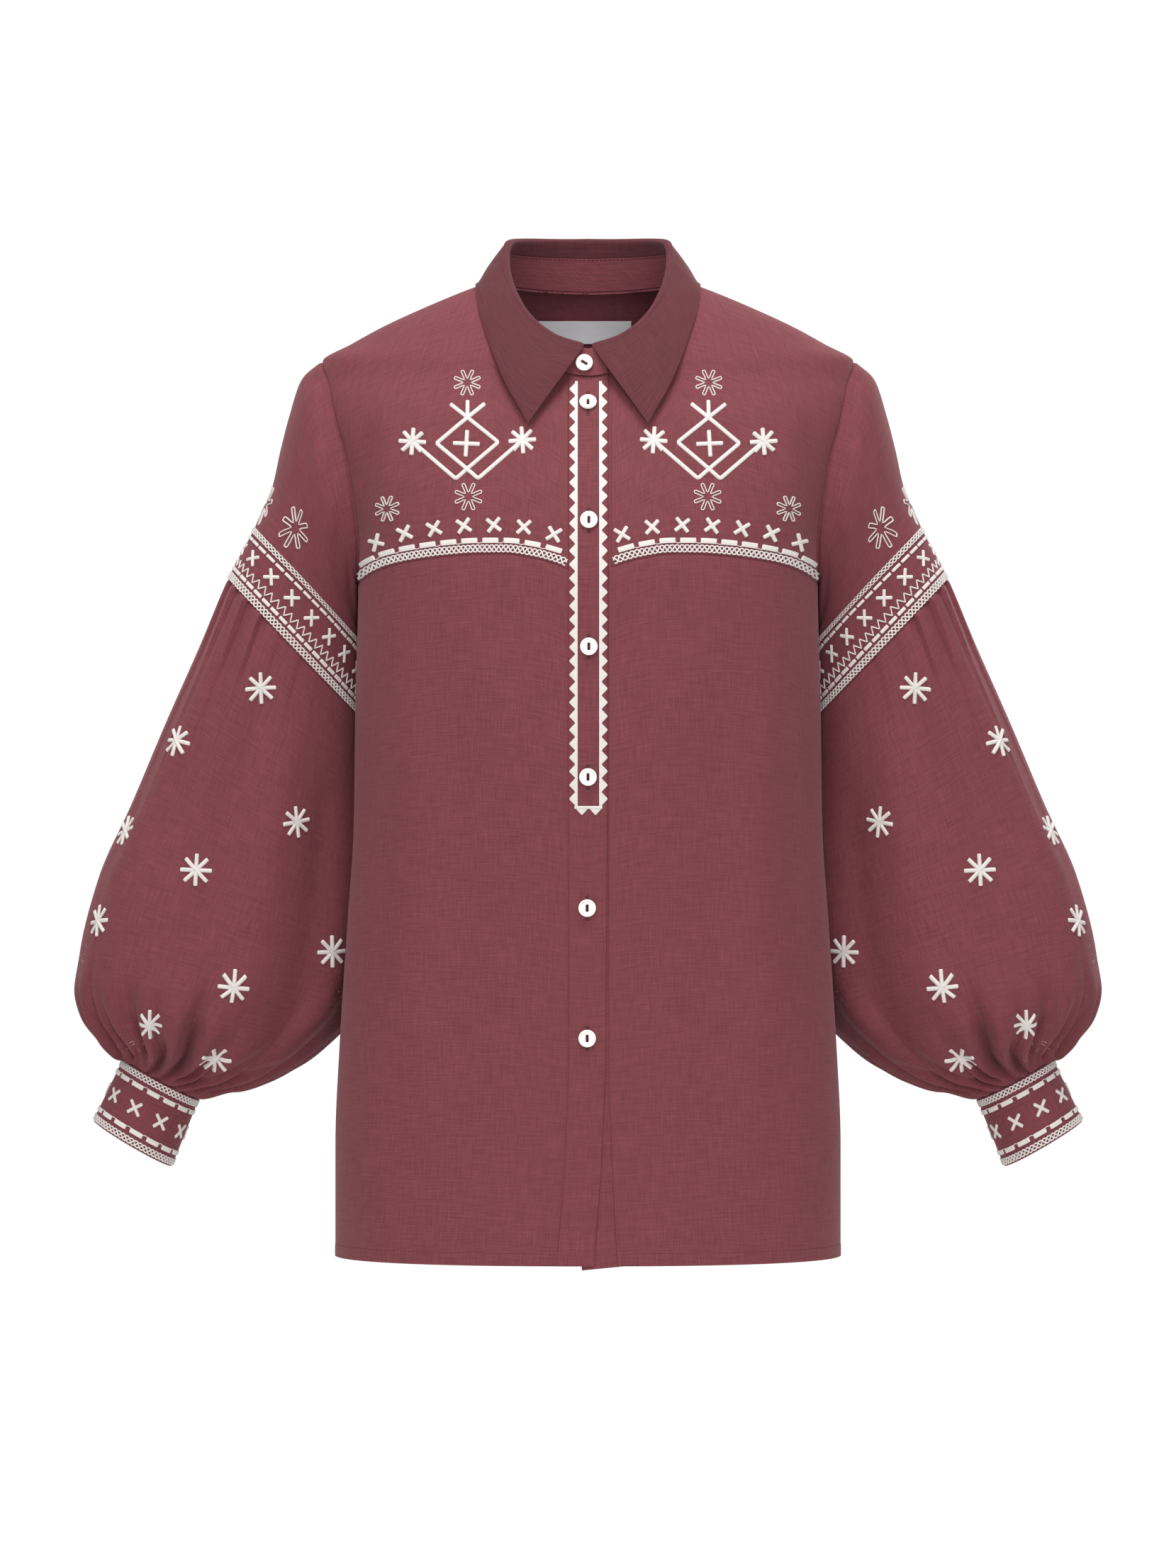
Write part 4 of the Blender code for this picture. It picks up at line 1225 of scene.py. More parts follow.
def make_yoke(side):
    """A yoke: columns straight down from the top edge to the seam. x is a share of the way from the
    button band to the armhole, and y is the trunk's section there.
    """
    x, z, share, seam = front_columns(side)
    seam = seam + GAP / 2
    shares = close_ends(70)
    rows = z + (seam - z) * shares[:, None]
    across = front_x(share, rows, side)
    across[0] = x
    outer = join(across, trunk_y(across, rows, FRONT), rows)
    outer[0, x > NECK_HALF - 0.01, 1] -= GAP / 2
    relief = trunk_relief(across, rows, FRONT)
    relief = relief + seam_dip(rows - seam) + seam_dip(side_x(rows, FRONT) - across, 0.9)
    relief = relief + np.where(x > NECK_HALF, seam_dip(z - rows), 0)
    make_panel(f"yoke_{WORD[side]}", outer, relief, side)


def make_front(side):
    """A lower front: columns from the seam to the hem, with x and y as on the yoke. Three rows are
    tucked under the yoke and two columns under the button band.
    """
    _, _, share, seam = front_columns(side)
    top = seam - GAP / 2
    tucked = np.array([ALLOWANCE, 2.0, 0.6])[:, None]
    rows = np.concatenate([top + tucked, top + (HEM - top) * close_ends(110)[:, None]])
    share = np.concatenate([[0, 0], share])
    rows = np.concatenate([rows[:, :1], rows[:, :1], rows], axis=1)
    across = front_x(share, rows, side)
    across[:, :2] -= np.array([2.0, 0.5])
    outer = join(across, trunk_y(across, rows, FRONT), rows)
    outer[:, -1, 1] -= GAP / 2
    relief = trunk_relief(across, rows, FRONT)
    relief = relief + seam_dip(side_x(rows, FRONT) - across, 0.5, 0.6)
    relief[3:] += seam_dip(rows[3:4] - rows[3:])
    relief[:3] -= DEPTH
    relief[:, :2] = np.minimum(relief[:, :2], relief[:, 2:3] - np.array([0.55, 0.4]) * (side == RIGHT))
    make_panel(f"front_{WORD[side]}", outer, relief + hem_rise(rows), side)


def with_back_allowances(outer, relief, on_ridge):
    """The back's grid with a row under the yokes' shoulder edges and a column under each front."""
    ahead = np.array([0.0, -1.0, 0.0])
    over = behind(outer[0], ahead, np.where(on_ridge, ALLOWANCE, 0.0)[:, None], 0.0)
    outer = np.concatenate([over[None], outer])
    relief = np.concatenate([relief[:1] - BACK_DEPTH, relief])
    below = ease(-outer[:, :1, 2], -ARMHOLE_BOTTOM, 4 - ARMHOLE_BOTTOM)[..., None]
    strips = [behind(outer[:, [end]], ahead, ALLOWANCE * below, 0.0) for end in (0, -1)]
    outer = np.concatenate([strips[0], outer, strips[1]], axis=1)
    relief = np.concatenate([relief[:, :1] - BACK_DEPTH, relief, relief[:, -1:] - BACK_DEPTH], axis=1)
    return outer, relief


def make_back():
    """The back: columns from the neck and shoulders to the hem. x is an even share of its width at that
    height, and y is the trunk's section there.
    """
    x, z = top_edge(np.linspace(0, 90, 30), 40, BACK)
    x = np.concatenate([-x[:0:-1], x])
    z = np.concatenate([z[:0:-1], z])
    share = x / x[-1]
    upper = z + (ARMHOLE_BOTTOM - z) * close_ends(54, 0.8)[:, None]
    lower = upper[-1] + (HEM - upper[-1]) * close_ends(70, 0.8)[1:, None]
    rows = np.concatenate([upper, lower])
    across = share * side_x(rows, BACK)
    across[0] = x
    outer = join(across, trunk_y(across, rows, BACK), rows)
    outer[0, np.abs(x) > NECK_HALF - 0.01, 1] += GAP / 2
    outer[len(upper) :, [0, -1], 1] += GAP / 2
    relief = trunk_relief(across, rows, BACK) * ease(side_x(rows, BACK) - np.abs(across), 0, 6)
    relief = relief + seam_dip(side_x(rows, BACK) - np.abs(across), 0.9, 0.8)
    relief = relief + np.where(np.abs(x) > NECK_HALF, seam_dip(z - rows), 0)
    outer, relief = with_back_allowances(outer, relief + hem_rise(rows), np.abs(x) > NECK_HALF + 1)
    make_panel("back", outer, relief, LEFT)


def make_band(node, edges, lift, hems, thick, allowance=0.0):
    """A button band: x runs evenly between its two edges and y is the trunk's section, out by a lift
    and with rounded folds. Its hem may run at a slant.
    """
    rows = close_ends(260, 0.3)
    across = close_ends(16, 0.85)
    z_guess = lerp(-74.0, hems[0], rows)[:, None]
    x = lerp(read(BANDS, edges[0], z_guess), read(BANDS, edges[1], z_guess) + allowance, across)
    turns = np.degrees(np.arcsin(x[0] / NECK_HALF))
    top = neck_ring(np.abs(turns))[:, 2] - GAP - max(lift, 0)
    z = lerp(top, lerp(*hems, across), rows[:, None])
    width = x[:, -1:] - x[:, :1]
    round_edge = seam_dip(np.minimum(across, 1 - across) * width, 0.45, 0.7)
    faces = [on_trunk(x, z, lift + round_edge), on_trunk(x, z, lift - thick - 0.4 * round_edge)]
    sew(node, faces, "folded")


def once_round(count):
    """Turns in degrees, with the first again as the last."""
    return np.linspace(0, 360, count + 1)


def close_round(grid):
    """A grid with its first column again as its last."""
    return np.concatenate([grid, grid[:, :1]], axis=1)


def make_tube(node, side, rows, count, width, held, dips, allowances):
    """One tube of the sleeve between its seams: smooth curves by row through the sleeve's loops, by
    turn round each. Each thin spot is painted as 1 - (distance / reach)².
    """
    turns = once_round(count)
    outer, normals = sleeve_grid(rows, turns[:-1])
    outer, normals = close_round(outer), close_round(normals)
    down = arc_lengths(outer, 0)
    outer = outer + (seam_dip(down, dips[0]) + seam_dip(down[-1:] - down, dips[1]))[..., None] * normals
    inner = outer - thickness() * normals
    before, after = allowances(turns, outer)
    outer = np.concatenate([before, outer, after])
    ahead, behind_it = normals[: len(before)], normals[len(normals) - len(after) :]
    inner = np.concatenate([before - 0.5 * ahead, inner, after - 0.5 * behind_it])
    rows = np.concatenate([rows[: len(before)], rows, rows[len(rows) - len(after) :]])
    faces = [outer * (side, 1, 1), inner * (side, 1, 1)]
    piece = sew(node, faces, held, around=True, width=width)
    thin = np.zeros((len(rows), count))
    for turn, row, turn_reach, row_reach in zip(*THIN_SPOTS.values()):
        off = np.abs(turns[None, :-1] - turn) / turn_reach
        thin = np.maximum(thin, 1 - off**2 - ((rows[:, None] - row) / row_reach) ** 2)
    layer = piece.data.attributes.new("thin", "FLOAT", "POINT")
    layer.data.foreach_set("value", np.tile(np.clip(thin, 0, 1).ravel(), 2).astype(np.float32))


def make_sleeves():
    """Upper and lower sleeves, their ends tucked in the armhole, under the band and in the cuff."""

    def in_armhole(turns, outer):
        angle = np.radians(turns)
        way = join(0, -np.sin(angle), np.cos(angle))
        return np.stack([behind(outer[0], way, *step) for step in TUCKED]), outer[:0]

    def in_seam_and_cuff(turns, outer):
        above = np.array([SEAM_ROW - 0.07, SEAM_ROW - 0.02])
        grid, normals = sleeve_grid(above, turns[:-1])
        in_cuff = cuff_points(turns, np.array([0.02, 0.09]))
        return close_round(grid - 1.7 * normals), in_cuff - 1.9 * grid_normals(in_cuff)

    upper_rows = (SEAM_ROW - ROW_GAP) * close_ends(72, 0.85)
    lower_rows = lerp(SEAM_ROW + ROW_GAP, CUFF_ROW, close_ends(104, 0.7))
    upper = (upper_rows, 144, 420.0, "draped", (0.9, 0.55), in_armhole)
    lower = (lower_rows, 288, 560.0, "gathered", (0.7, 0.6), in_seam_and_cuff)
    for side in (RIGHT, LEFT):
        make_tube(f"sleeve_upper_{WORD[side]}", side, *upper)
        make_tube(f"sleeve_lower_{WORD[side]}", side, *lower)


def make_cuffs():
    """Cuffs: straight lines from the sleeve's last loop to the cuff's edge, once round and past the start for
    the lap, and drawn in at both edges.
    """
    turns = CUFF_LAP_AT + (360 + CUFF_LAP) * close_ends(150, 0.3)
    share = lerp(GAP / CUFF_HEIGHT, 1, close_ends(26, 0.85))
    outer, normals = cuff_grid(turns, share)
    edge = np.minimum(share, 1 - share)[:, None] * CUFF_HEIGHT
    outer = outer + seam_dip(edge, 0.4, 0.8)[..., None] * normals
    inner = outer - 1.2 * normals
    for side in (RIGHT, LEFT):
        sew(f"cuff_{WORD[side]}", [outer * (side, 1, 1), inner * (side, 1, 1)], "folded")


def neck_turns(end, count):
    """Turns round the neck from one front end of the collar to the other."""
    return lerp(end, 360 - end, close_ends(count, 0.35))


def make_collar():
    """The stand: straight lines up from the neck seam. The leaf: the same lines round the fold and down
    to its outline, thinner at its edge and with a ridge where the edge is stitched.
    """
    turns = neck_turns(-STAND_LAP, 190)
    top_share = read(STAND_SHARE, "share", fold_turn(turns))[:, None]
    grid = np.stack([neck_wall(turns, share * top_share) for share in close_ends(18, 0.8)])
    grid[0, :, 2] += np.where(np.abs(fold_turn(turns) - 85) < 15, 2, 1) * GAP
    grid[-1, :, 2] -= GAP / 2
    half = 0.55 * outwards(turns)
    # The stand is drawn in a lighter copy of the linen, which is painted light.
    sew("collar_stand", [grid + half, grid - half, grid], "folded", "stand_linen", measured=2)

    turns = neck_turns(LEAF_FIRST, 230)
    grid = leaf_middle(turns, close_ends(34, 0.6)[1:])
    normals = grid_normals(grid)
    normals[0] = outwards(turns)
    down = arc_lengths(grid, 0)
    across = arc_lengths(grid, 1)
    edge = np.minimum(down[-1:] - down, np.minimum(across, across[:, -1:] - across))
    thick = 0.62 - 0.3 * np.exp(-((edge / 0.7) ** 2)) + 0.12 * np.exp(-(((edge - 4.5) / 1.4) ** 2))
    half = thick[..., None] * normals
    # The leaf is drawn in a darker copy of the linen, which is painted shade.
    sew("collar_leaf", [grid + half, grid - half, grid], "folded", "collar_linen", measured=2)


def make_label():
    """The bare ribbon inside the neck: a level strip at an even depth in from the trunk's back, its
    ends turned under.
    """
    share = close_ends(60, 0.6)
    x = LABEL_MIDDLE + (share - 0.5) * LABEL_WIDTH
    down = close_ends(16, 0.6)
    z = LABEL_TOP - down[:, None] * LABEL_HEIGHT
    on_back = join(x, trunk_y(x, z, BACK), z)
    end = np.minimum(share, 1 - share) * LABEL_WIDTH
    turned = 0.25 * (1 - ease(end, 4.0, 5.0))
    depth = np.broadcast_to(LABEL_OFF + 0.1 * np.sin(9 * share) ** 2, on_back.shape[:2])
    grids = [off_trunk(on_back, -depth), off_trunk(on_back, -(depth + 0.55 + turned))]
    piece = shell("label_ribbon", *grids)
    dress(piece, finish("satin_ribbon"), ["label"])
    declare_cut(grids[1], "laid")


# Buttons


def button_profile():
    """Rings from the slot over the dish and rim and under to the slot: share of slot, radius, height."""
    dish = BUTTON_THICK - 0.55
    return [
        (1.0, 0.0, 0.35),
        (1.0, 0.0, dish - 0.45),
        (1.06, 0.0, dish - 0.14),
        (1.22, 0.0, dish),
        (0.0, 3.6, dish),
        (0.0, 4.6, dish + 0.03),
        (0.0, 5.0, dish + 0.22),
        (0.0, 5.35, BUTTON_THICK - 0.06),
        (0.0, 5.7, BUTTON_THICK),
        (0.0, 6.02, BUTTON_THICK - 0.1),
        (0.0, 6.25, BUTTON_THICK - 0.4),
        (0.0, BUTTON_RADIUS, BUTTON_THICK - 0.85),
        (0.0, BUTTON_RADIUS - 0.02, 0.9),
        (0.0, 6.1, 0.4),
        (0.0, 5.3, 0.05),
        (0.0, 4.0, 0.0),
        (1.15, 0.0, 0.0),
        (1.0, 0.0, 0.15),
    ]


def button_points(slot_turn, sides=72):
    """A button's rings and the turn of its slot. Rings are circles, or the slot's outline scaled."""
    angle = np.linspace(0, 2 * math.pi, sides, endpoint=False)
    circle = join(np.cos(angle), np.sin(angle), 0)
    straight = (SLOT_LENGTH - SLOT_WIDTH) / 2
    slot = circle * SLOT_WIDTH / 2 + join(0, straight * np.sign(np.round(np.sin(angle), 6)), 0)
    turn = math.radians(slot_turn)
    spin = np.array([[math.cos(turn), math.sin(turn), 0], [-math.sin(turn), math.cos(turn), 0], [0, 0, 1]])
    slot = slot @ spin
    profile = button_profile()
    rings = [(slot * share if share else circle * radius) + (0, 0, z) for share, radius, z in profile]
    return np.stack(rings), spin


def button_frames():
    """Where each button's back lies, its facing direction and its slot's turn."""
    x, z = BUTTONS["x"], BUTTONS["z"]
    places = join(x, trunk_y(x, z, FRONT), z)
    normals = unit(trunk_slope(places))
    places = places + (BAND_LIFT + GAP) * normals
    turn = 360 + math.degrees(math.asin(x[0] / NECK_HALF))
    ends = [neck_wall(np.array([turn]), share)[0] for share in (0.0, 1.0)]
    place = lerp(ends[0], ends[1], (z[0] - ends[0][2]) / (ends[1][2] - ends[0][2]))
    up = unit(ends[1] - ends[0])
    normals[0] = unit(np.cross(up, np.cross(outwards(np.array([turn]))[0], up)))
    places[0] = place + (COLLAR_CLOTH / 2 + 1.5 * GAP) * normals[0]
    names = [f"button_{k + 1}" for k in range(len(x))]
    frames = list(zip(names, places, normals, BUTTONS["slot_turn"]))
    turns = CUFF_LAP_AT + 360 + CUFF_LAP / 2 + np.array([-2.0, 0.0, 2.0])
    seat, facing = cuff_grid(turns, np.array([0.45, 0.5, 0.55]))
    for side in (RIGHT, LEFT):
        place = (seat[1, 1] + 1.2 * GAP * facing[1, 1]) * (side, 1, 1)
        frames.append((f"button_cuff_{WORD[side]}", place, facing[1, 1] * (side, 1, 1), 0.0))
    return frames


def make_buttons():
    """Buttons: a profile's rings, level with the cloth, joined to a closed disc with a slot through
    it, and two threads along each slot.
    """
    for name, place, normal, slot_turn in button_frames():
        across = unit(np.cross((0, 0, 1), normal))
        axes = np.array([across, np.cross(normal, across), normal])
        rings, spin = button_points(slot_turn)
        points = (place + rings @ axes).reshape(-1, 3)
        number = np.arange(len(points)).reshape(rings.shape[:2])
        ahead = np.roll(number, -1, axis=0)
        corners = [number, np.roll(number, -1, 1), np.roll(ahead, -1, 1), ahead]
        quads = np.stack(corners, axis=-1).reshape(-1, 4)
        uv = rings.reshape(-1, 3)[:, :2] * MM
        piece = make_mesh(name + "_resin", points, quads, uv[quads], sharp=70)
        dress(piece, finish("polished_resin"), [name])

        threads = Stitches()
        steps = np.linspace(-1.5, 1.5, 7)
        for off in (-0.5, 0.5):
            path = np.stack([np.full(7, off), steps], axis=-1) @ spin[:2, :2]
            threads.bar(path, 0.85, 0.5, THREAD_RING, rise=BUTTON_THICK - 1.25)

        def on_button(u, v, h, place=place, axes=axes):
            return place + join(u, v, h) @ axes

        stitch(name + "_thread", [(threads, on_button)], LEFT, "matching_thread")


# Embroidery

THREAD_HEIGHT = 0.95
LINE = 3.0  # width of the satin lines
YOKE_BRAID, YOKE_DASHES, YOKE_CROSSES = 4.0, 9.8, 21.0  # middles above the yoke's seam
CROSS_FIRST, CROSS_PITCH, CROSSES = 24.5, 21.7, 7

# The chest motif, outwards and up from its middle: a rhombus whose lines cross at its foot
# and turn up to two stars, three prongs on top and a cross inside.
MOTIF = (87.5, -121.7)
RHOMB_WIDE, RHOMB_HIGH = 22.6, 19.0
PRONG_SIDE, PRONG_UP, PRONG_MIDDLE = 12.6, 29.4, 32.0
FOOT_SIDE, FOOT_DOWN = 8.1, 26.2
STAR_SIDE, STAR_UP = 40.0, 1.8
CHEST_STAR = 20.0
OUTLINE_STARS = table("x z radius", [(87.9, -76.4, 10.0), (86.3, -161.2, 10.2), (145.8, -168.6, 9.4)])


def chest_motif(stitches):
    """The motif's two lines, one a mirror image of the other and a little higher, and its stars."""
    middle = np.array(MOTIF)
    line = [
        (-PRONG_SIDE, PRONG_UP),
        (0, RHOMB_HIGH),
        (RHOMB_WIDE, 0.4),
        (0, -RHOMB_HIGH),
        (-FOOT_SIDE, -FOOT_DOWN),
        (-STAR_SIDE, STAR_UP),
    ]
    for way, height in ((1, THREAD_HEIGHT), (-1, 1.15 * THREAD_HEIGHT)):
        stitches.bar(round_corners(middle + np.multiply(line, (way, 1)), 1.9), LINE, height)
        stitches.cross(middle + (way * STAR_SIDE, STAR_UP), CHEST_STAR, 3.2, THREAD_HEIGHT, 4 * way, 4)
    stitches.bar(refine(middle + np.array([(0.0, RHOMB_HIGH), (0.0, PRONG_MIDDLE)])), LINE, THREAD_HEIGHT)
    stitches.cross(middle + (0.6, -0.3), 19.6, 3.1, THREAD_HEIGHT, 3, 2)


def along_seam(level):
    """Lays a row of stitches above the yoke's seam: up to its level, and square to the seam round that."""

    def place(u, v, h):
        seam = read(YOKE_SEAM, "z", u)
        slope = np.arctan2(read(YOKE_SEAM, "z", u + 2) - read(YOKE_SEAM, "z", u - 2), 4)
        x = u - (v - level) * np.sin(slope)
        return on_trunk(x, seam + level / np.cos(slope) + (v - level) * np.cos(slope), h)

    return place


def make_yoke_embroidery():
    """Chest motifs with three outline stars each, and the borders above the yokes' seams."""
    for side in (RIGHT, LEFT):
        figures = Stitches()
        chest_motif(figures)
        for x, z, radius in zip(*OUTLINE_STARS.values()):
            figures.outline_star((x, z), radius, 22.5)
        stitch(f"chest_embroidery_{WORD[side]}", [(figures, on_trunk)], side)

        start = band_edge(-212.0, side) + 1.2
        end = float(side_x(np.array(-222.0), FRONT)) - 1.0
        plait, satin, crosses = Stitches(), Stitches(), Stitches()
        braid(plait, start, end, YOKE_BRAID, 6.2)
        dashes(satin, start + 1.5, end, YOKE_DASHES, 11.6, 3.9, 14.6)
        for x in CROSS_FIRST + CROSS_PITCH * np.arange(CROSSES):
            slope = float(read(YOKE_SEAM, "z", x + 5) - read(YOKE_SEAM, "z", x - 5)) / 10
            middle = (x, float(read(YOKE_SEAM, "z", x)) + YOKE_CROSSES)
            crosses.cross(middle, 13.6, 2.9, THREAD_HEIGHT, 38 + math.degrees(slope), 2)
        rows = [(plait, along_seam(YOKE_BRAID)), (satin, along_seam(YOKE_DASHES)), (crosses, on_trunk)]
        stitch(f"yoke_borders_{WORD[side]}", rows, side)


# Sawtooth edging of the upper button band.
TOOTH_PITCH, TOOTH_DEPTH = 9.9, 4.2
EDGING_TOP, EDGING_END = -76.5, -385.4
EDGING = {RIGHT: -9.5, LEFT: 10.1}  # where the teeth meet the strip
STRIP = 2.1


def tooth(edging, start, way, wide):
    """A triangle of cloth from a point of the strip: a bar whose width falls from wide to 1."""
    share = np.linspace(0, 1, 6)
    edging.bar(start + share[:, None] * way, lerp(wide, 1.0, share), 0.5, FLAT_RING, blunt=0)


def make_edging():
    """A folded strip down both sides and across the end, with a triangle of cloth for each tooth."""
    edging = Stitches()
    for side, root in EDGING.items():
        z = np.arange(EDGING_TOP, EDGING_END, -1.6)
        middle = root - side * STRIP / 2
        edging.bar(np.stack([np.full(len(z), middle), z], axis=-1), STRIP, 0.75, FLAT_RING, blunt=0)
        for k in range(int((EDGING_TOP - EDGING_END) / TOOTH_PITCH)):
            start = np.array([root - 0.4 * side, EDGING_END + (k + 0.62) * TOOTH_PITCH])
            tooth(edging, start, np.array([side * TOOTH_DEPTH, 0]), TOOTH_PITCH)
    across = np.linspace(EDGING[RIGHT] - 0.2, EDGING[LEFT] + 0.2, 20)
    edging.bar(np.stack([across, np.full(20, EDGING_END)], axis=-1), STRIP, 0.8, FLAT_RING, blunt=0)
    for share in (0.26, 0.76):
        start = np.array([lerp(EDGING[RIGHT], EDGING[LEFT], share), EDGING_END - 0.6])
        tooth(edging, start, np.array([0, -4.6]), 9.4)
    stitch("placket_edging", [(edging, on_band)])


# Sleeve embroidery, as distances above the slanting seam.
BAND_LINES = {"braid": (3.2, 40.6), "dashes": (8.8, 34.0), "zigzag": 13.9, "crosses": 24.0}
SLEEVE_STAR = 23.6


def read_face(grid, normals, row, column, h):
    """A face between the points of its grid, by part rows and columns, moved out by h."""
    row, column = np.asarray(row), np.asarray(column)
    i = np.clip(row.astype(int), 0, len(grid) - 2)
    j = np.clip(column.astype(int), 0, grid.shape[1] - 2)
    a, b = (row - i)[..., None], (column - j)[..., None]

    def mix(values):
        upper = lerp(values[i, j], values[i, j + 1], b)
        return lerp(upper, lerp(values[i + 1, j], values[i + 1, j + 1], b), a)

    return mix(grid) + np.asarray(h)[..., None] * unit(mix(normals))


class SleeveFace:
    """The left sleeve's outer face, read between the points of a fine grid."""

    def __init__(self, rows, count):
        self.rows, self.turns = rows, once_round(count)
        self.grid, self.normals = [close_round(part) for part in sleeve_grid(rows, self.turns[:-1])]

    def at(self, row, turn, h=0.0):
        """Points at rows and turns of the sleeve, moved out by a height."""
        part_row = np.interp(row, self.rows, np.arange(len(self.rows)))
        return read_face(self.grid, self.normals, part_row, np.mod(turn, 360) / self.turns[1], h)

    def seen_at(self, x, z):
        """Row and turn of the front point on the camera's line through (x, z) at the shirt's sides."""
        half = self.turns <= 180
        points = self.grid[:, half]
        nearer = CAMERA_DISTANCE / (CAMERA_DISTANCE + points[..., 1])
        off_x = points[..., 0] * nearer - x
        off_z = (points[..., 2] - CAMERA_HEIGHT) * nearer + CAMERA_HEIGHT - z
        i, j = np.unravel_index(np.argmin(off_x**2 + off_z**2), off_x.shape)
        return self.rows[i], self.turns[half][j]

    def around(self, row, turn):
        """Lays flat stitches round one place: millimetres turned to rows and turns by the slopes there."""
        middle = self.at(row, turn)
        by_row = (self.at(row + 0.1, turn) - middle) / 0.1
        by_turn = (self.at(row, turn + 2) - middle) / 2
        facing = unit(np.cross(by_turn, by_row))
        up = unit(np.array([0, 0, 1.0]) - facing * facing[2])
        side = np.cross(facing, up)
        slopes = np.linalg.pinv(np.stack([by_row, by_turn], axis=1))

        def place(u, v, h):
            off = slopes @ (side[:, None] * u + up[:, None] * v)
            return self.at(row + off[0], turn + off[1], h)

        return place


def sleeve_stars(face):
    """Satin stars scattered down the lower sleeve, and on its back half the same, shifted."""
    places = []
    for x, z, lean in zip(*SLEEVE_STARS.values()):
        row, turn = face.seen_at(x, z)
        places.append((row, turn, lean))
        if turn > 28:
            places.append((min(row + 0.3, 14.6), 352 - turn, -lean))
    for row, turn, lean in places:
        star = Stitches()
        star.cross((0, 0), SLEEVE_STAR, 3.1, THREAD_HEIGHT, lean, 4)
        yield star, face.around(row, turn)


def smooth_round(values, reach=30):
    """A closed run of values, each the mean of those near it."""
    ring = values[:-1]
    window = np.ones(2 * reach + 1) / (2 * reach + 1)
    mean = np.convolve(np.concatenate([ring[-reach:], ring, ring[:reach]]), window, "valid")
    return np.append(mean, mean[0])


def make_sleeve_embroidery():
    """The band above the slanting seam, all round, with stars above and below it."""
    stars = list(sleeve_stars(SleeveFace(np.linspace(0.2, CUFF_ROW, 480), 432)))
    upper = SleeveFace(np.linspace(0.0, SEAM_ROW - ROW_GAP, 240), 288)
    turns = np.linspace(0, 359.9999, 721)
    by_row = upper.at(5.9, turns) - upper.at(5.1, turns)
    by_turn = upper.at(5.5, turns + 1.5) - upper.at(5.5, turns - 1.5)
    skew = np.sum(by_row * by_turn, axis=-1) / np.sum(by_turn**2, axis=-1)
    square = np.linalg.norm(by_row - skew[:, None] * by_turn, axis=-1) / 0.8
    lean = smooth_round(-skew * 3 / 0.8 / square)
    along = arc_lengths(upper.at(5.9, turns)[None], 1)[0]

    def above_seam(u, v, h):
        """v runs square to the seam: the row falls by v over its height, and the turn leans with it."""
        turn = np.interp(np.mod(u, along[-1]), along, turns)
        row = SEAM_ROW - ROW_GAP - v / np.interp(turn, turns, square)
        return upper.at(row, turn - v * np.interp(turn, turns, lean), h)

    band = Stitches()
    whole = along[-1]
    for level in BAND_LINES["braid"]:
        braid(band, 0.0, whole, level, 5.8)
    for level in BAND_LINES["dashes"]:
        dashes(band, 0.0, whole, level, 7.3, 2.5, 8.7, linked=False)
    periods = int(round(whole / 6.6))
    u = np.linspace(0, whole, periods * 2 + 1)
    zigzag = np.stack([u, BAND_LINES["zigzag"] + 2.6 * np.where(np.arange(len(u)) % 2, 1, -1)], axis=-1)
    band.bar(refine(zigzag, 1.7), 1.0, 0.75, THREAD_RING, blunt=0)
    count = int(round(whole / 20.5))
    for k in range(count):
        middle = ((k + 0.35) * whole / count, BAND_LINES["crosses"])
        band.cross(middle, 12.0, 2.5, THREAD_HEIGHT, 43, 2)

    parts = [(band, above_seam)]
    for x, z in zip(*UPPER_STARS.values()):
        row, turn = upper.seen_at(x, z)
        for place in ((row, turn), (row - 0.2, 354 - turn)):
            star = Stitches()
            star.outline_star((0, 0), 15.5, 11, 0.95, 0.76)
            parts.append((star, upper.around(*place)))
    for side in (RIGHT, LEFT):
        stitch(f"sleeve_band_{WORD[side]}", parts, side)
        stitch(f"sleeve_stars_{WORD[side]}", stars, side)


def make_cuff_embroidery():
    """Braid, dashes and crosses round each cuff."""
    turns = CUFF_LAP_AT + np.linspace(0, 360 + CUFF_LAP, 400)
    share = np.linspace(GAP / CUFF_HEIGHT, 1, 30)
    grid, normals = cuff_grid(turns, share)
    along = arc_lengths(grid, 1)[15]

    def on_cuff(u, v, h):
        up = (np.clip(v / CUFF_HEIGHT, share[0], share[-1]) - share[0]) / (share[1] - share[0])
        return read_face(grid, normals, up, np.interp(u, along, np.arange(len(turns))), h)

    rows = Stitches()
    start, end = 4.0, along[-1] - 1.5
    for level in (3.5, CUFF_HEIGHT - 3.5):
        braid(rows, start, end, level, 5.4)
    for level in (10.5, CUFF_HEIGHT - 10.3):
        dashes(rows, start, end, level, 10.4, 3.6, 14.2)
    count = int((end - start) / 22.0)
    for k in range(count):
        middle = (start + (k + 0.3) * (end - start) / count, CUFF_HEIGHT / 2)
        rows.cross(middle, 13.6, 2.6, THREAD_HEIGHT, 38, 2)
    for side in (RIGHT, LEFT):
        stitch(f"cuff_embroidery_{WORD[side]}", [(rows, on_cuff)], side)


# Sewing


HOLE_HALF = 8.6  # half of a buttonhole's length


def running_stitches(stitches, path, length=1.9, gap=1.1, width=0.42, height=0.22):
    """Short stitches along a flat path with gaps between them."""
    along = arc_lengths(path[None], 1)[0]
    for start in np.arange(0.5, along[-1] - length, length + gap):
        stops = np.linspace(start, start + length, 3)
        piece = np.stack([np.interp(stops, along, path[:, k]) for k in (0, 1)], axis=-1)
        stitches.bar(piece, width, height, THREAD_RING, blunt=0)


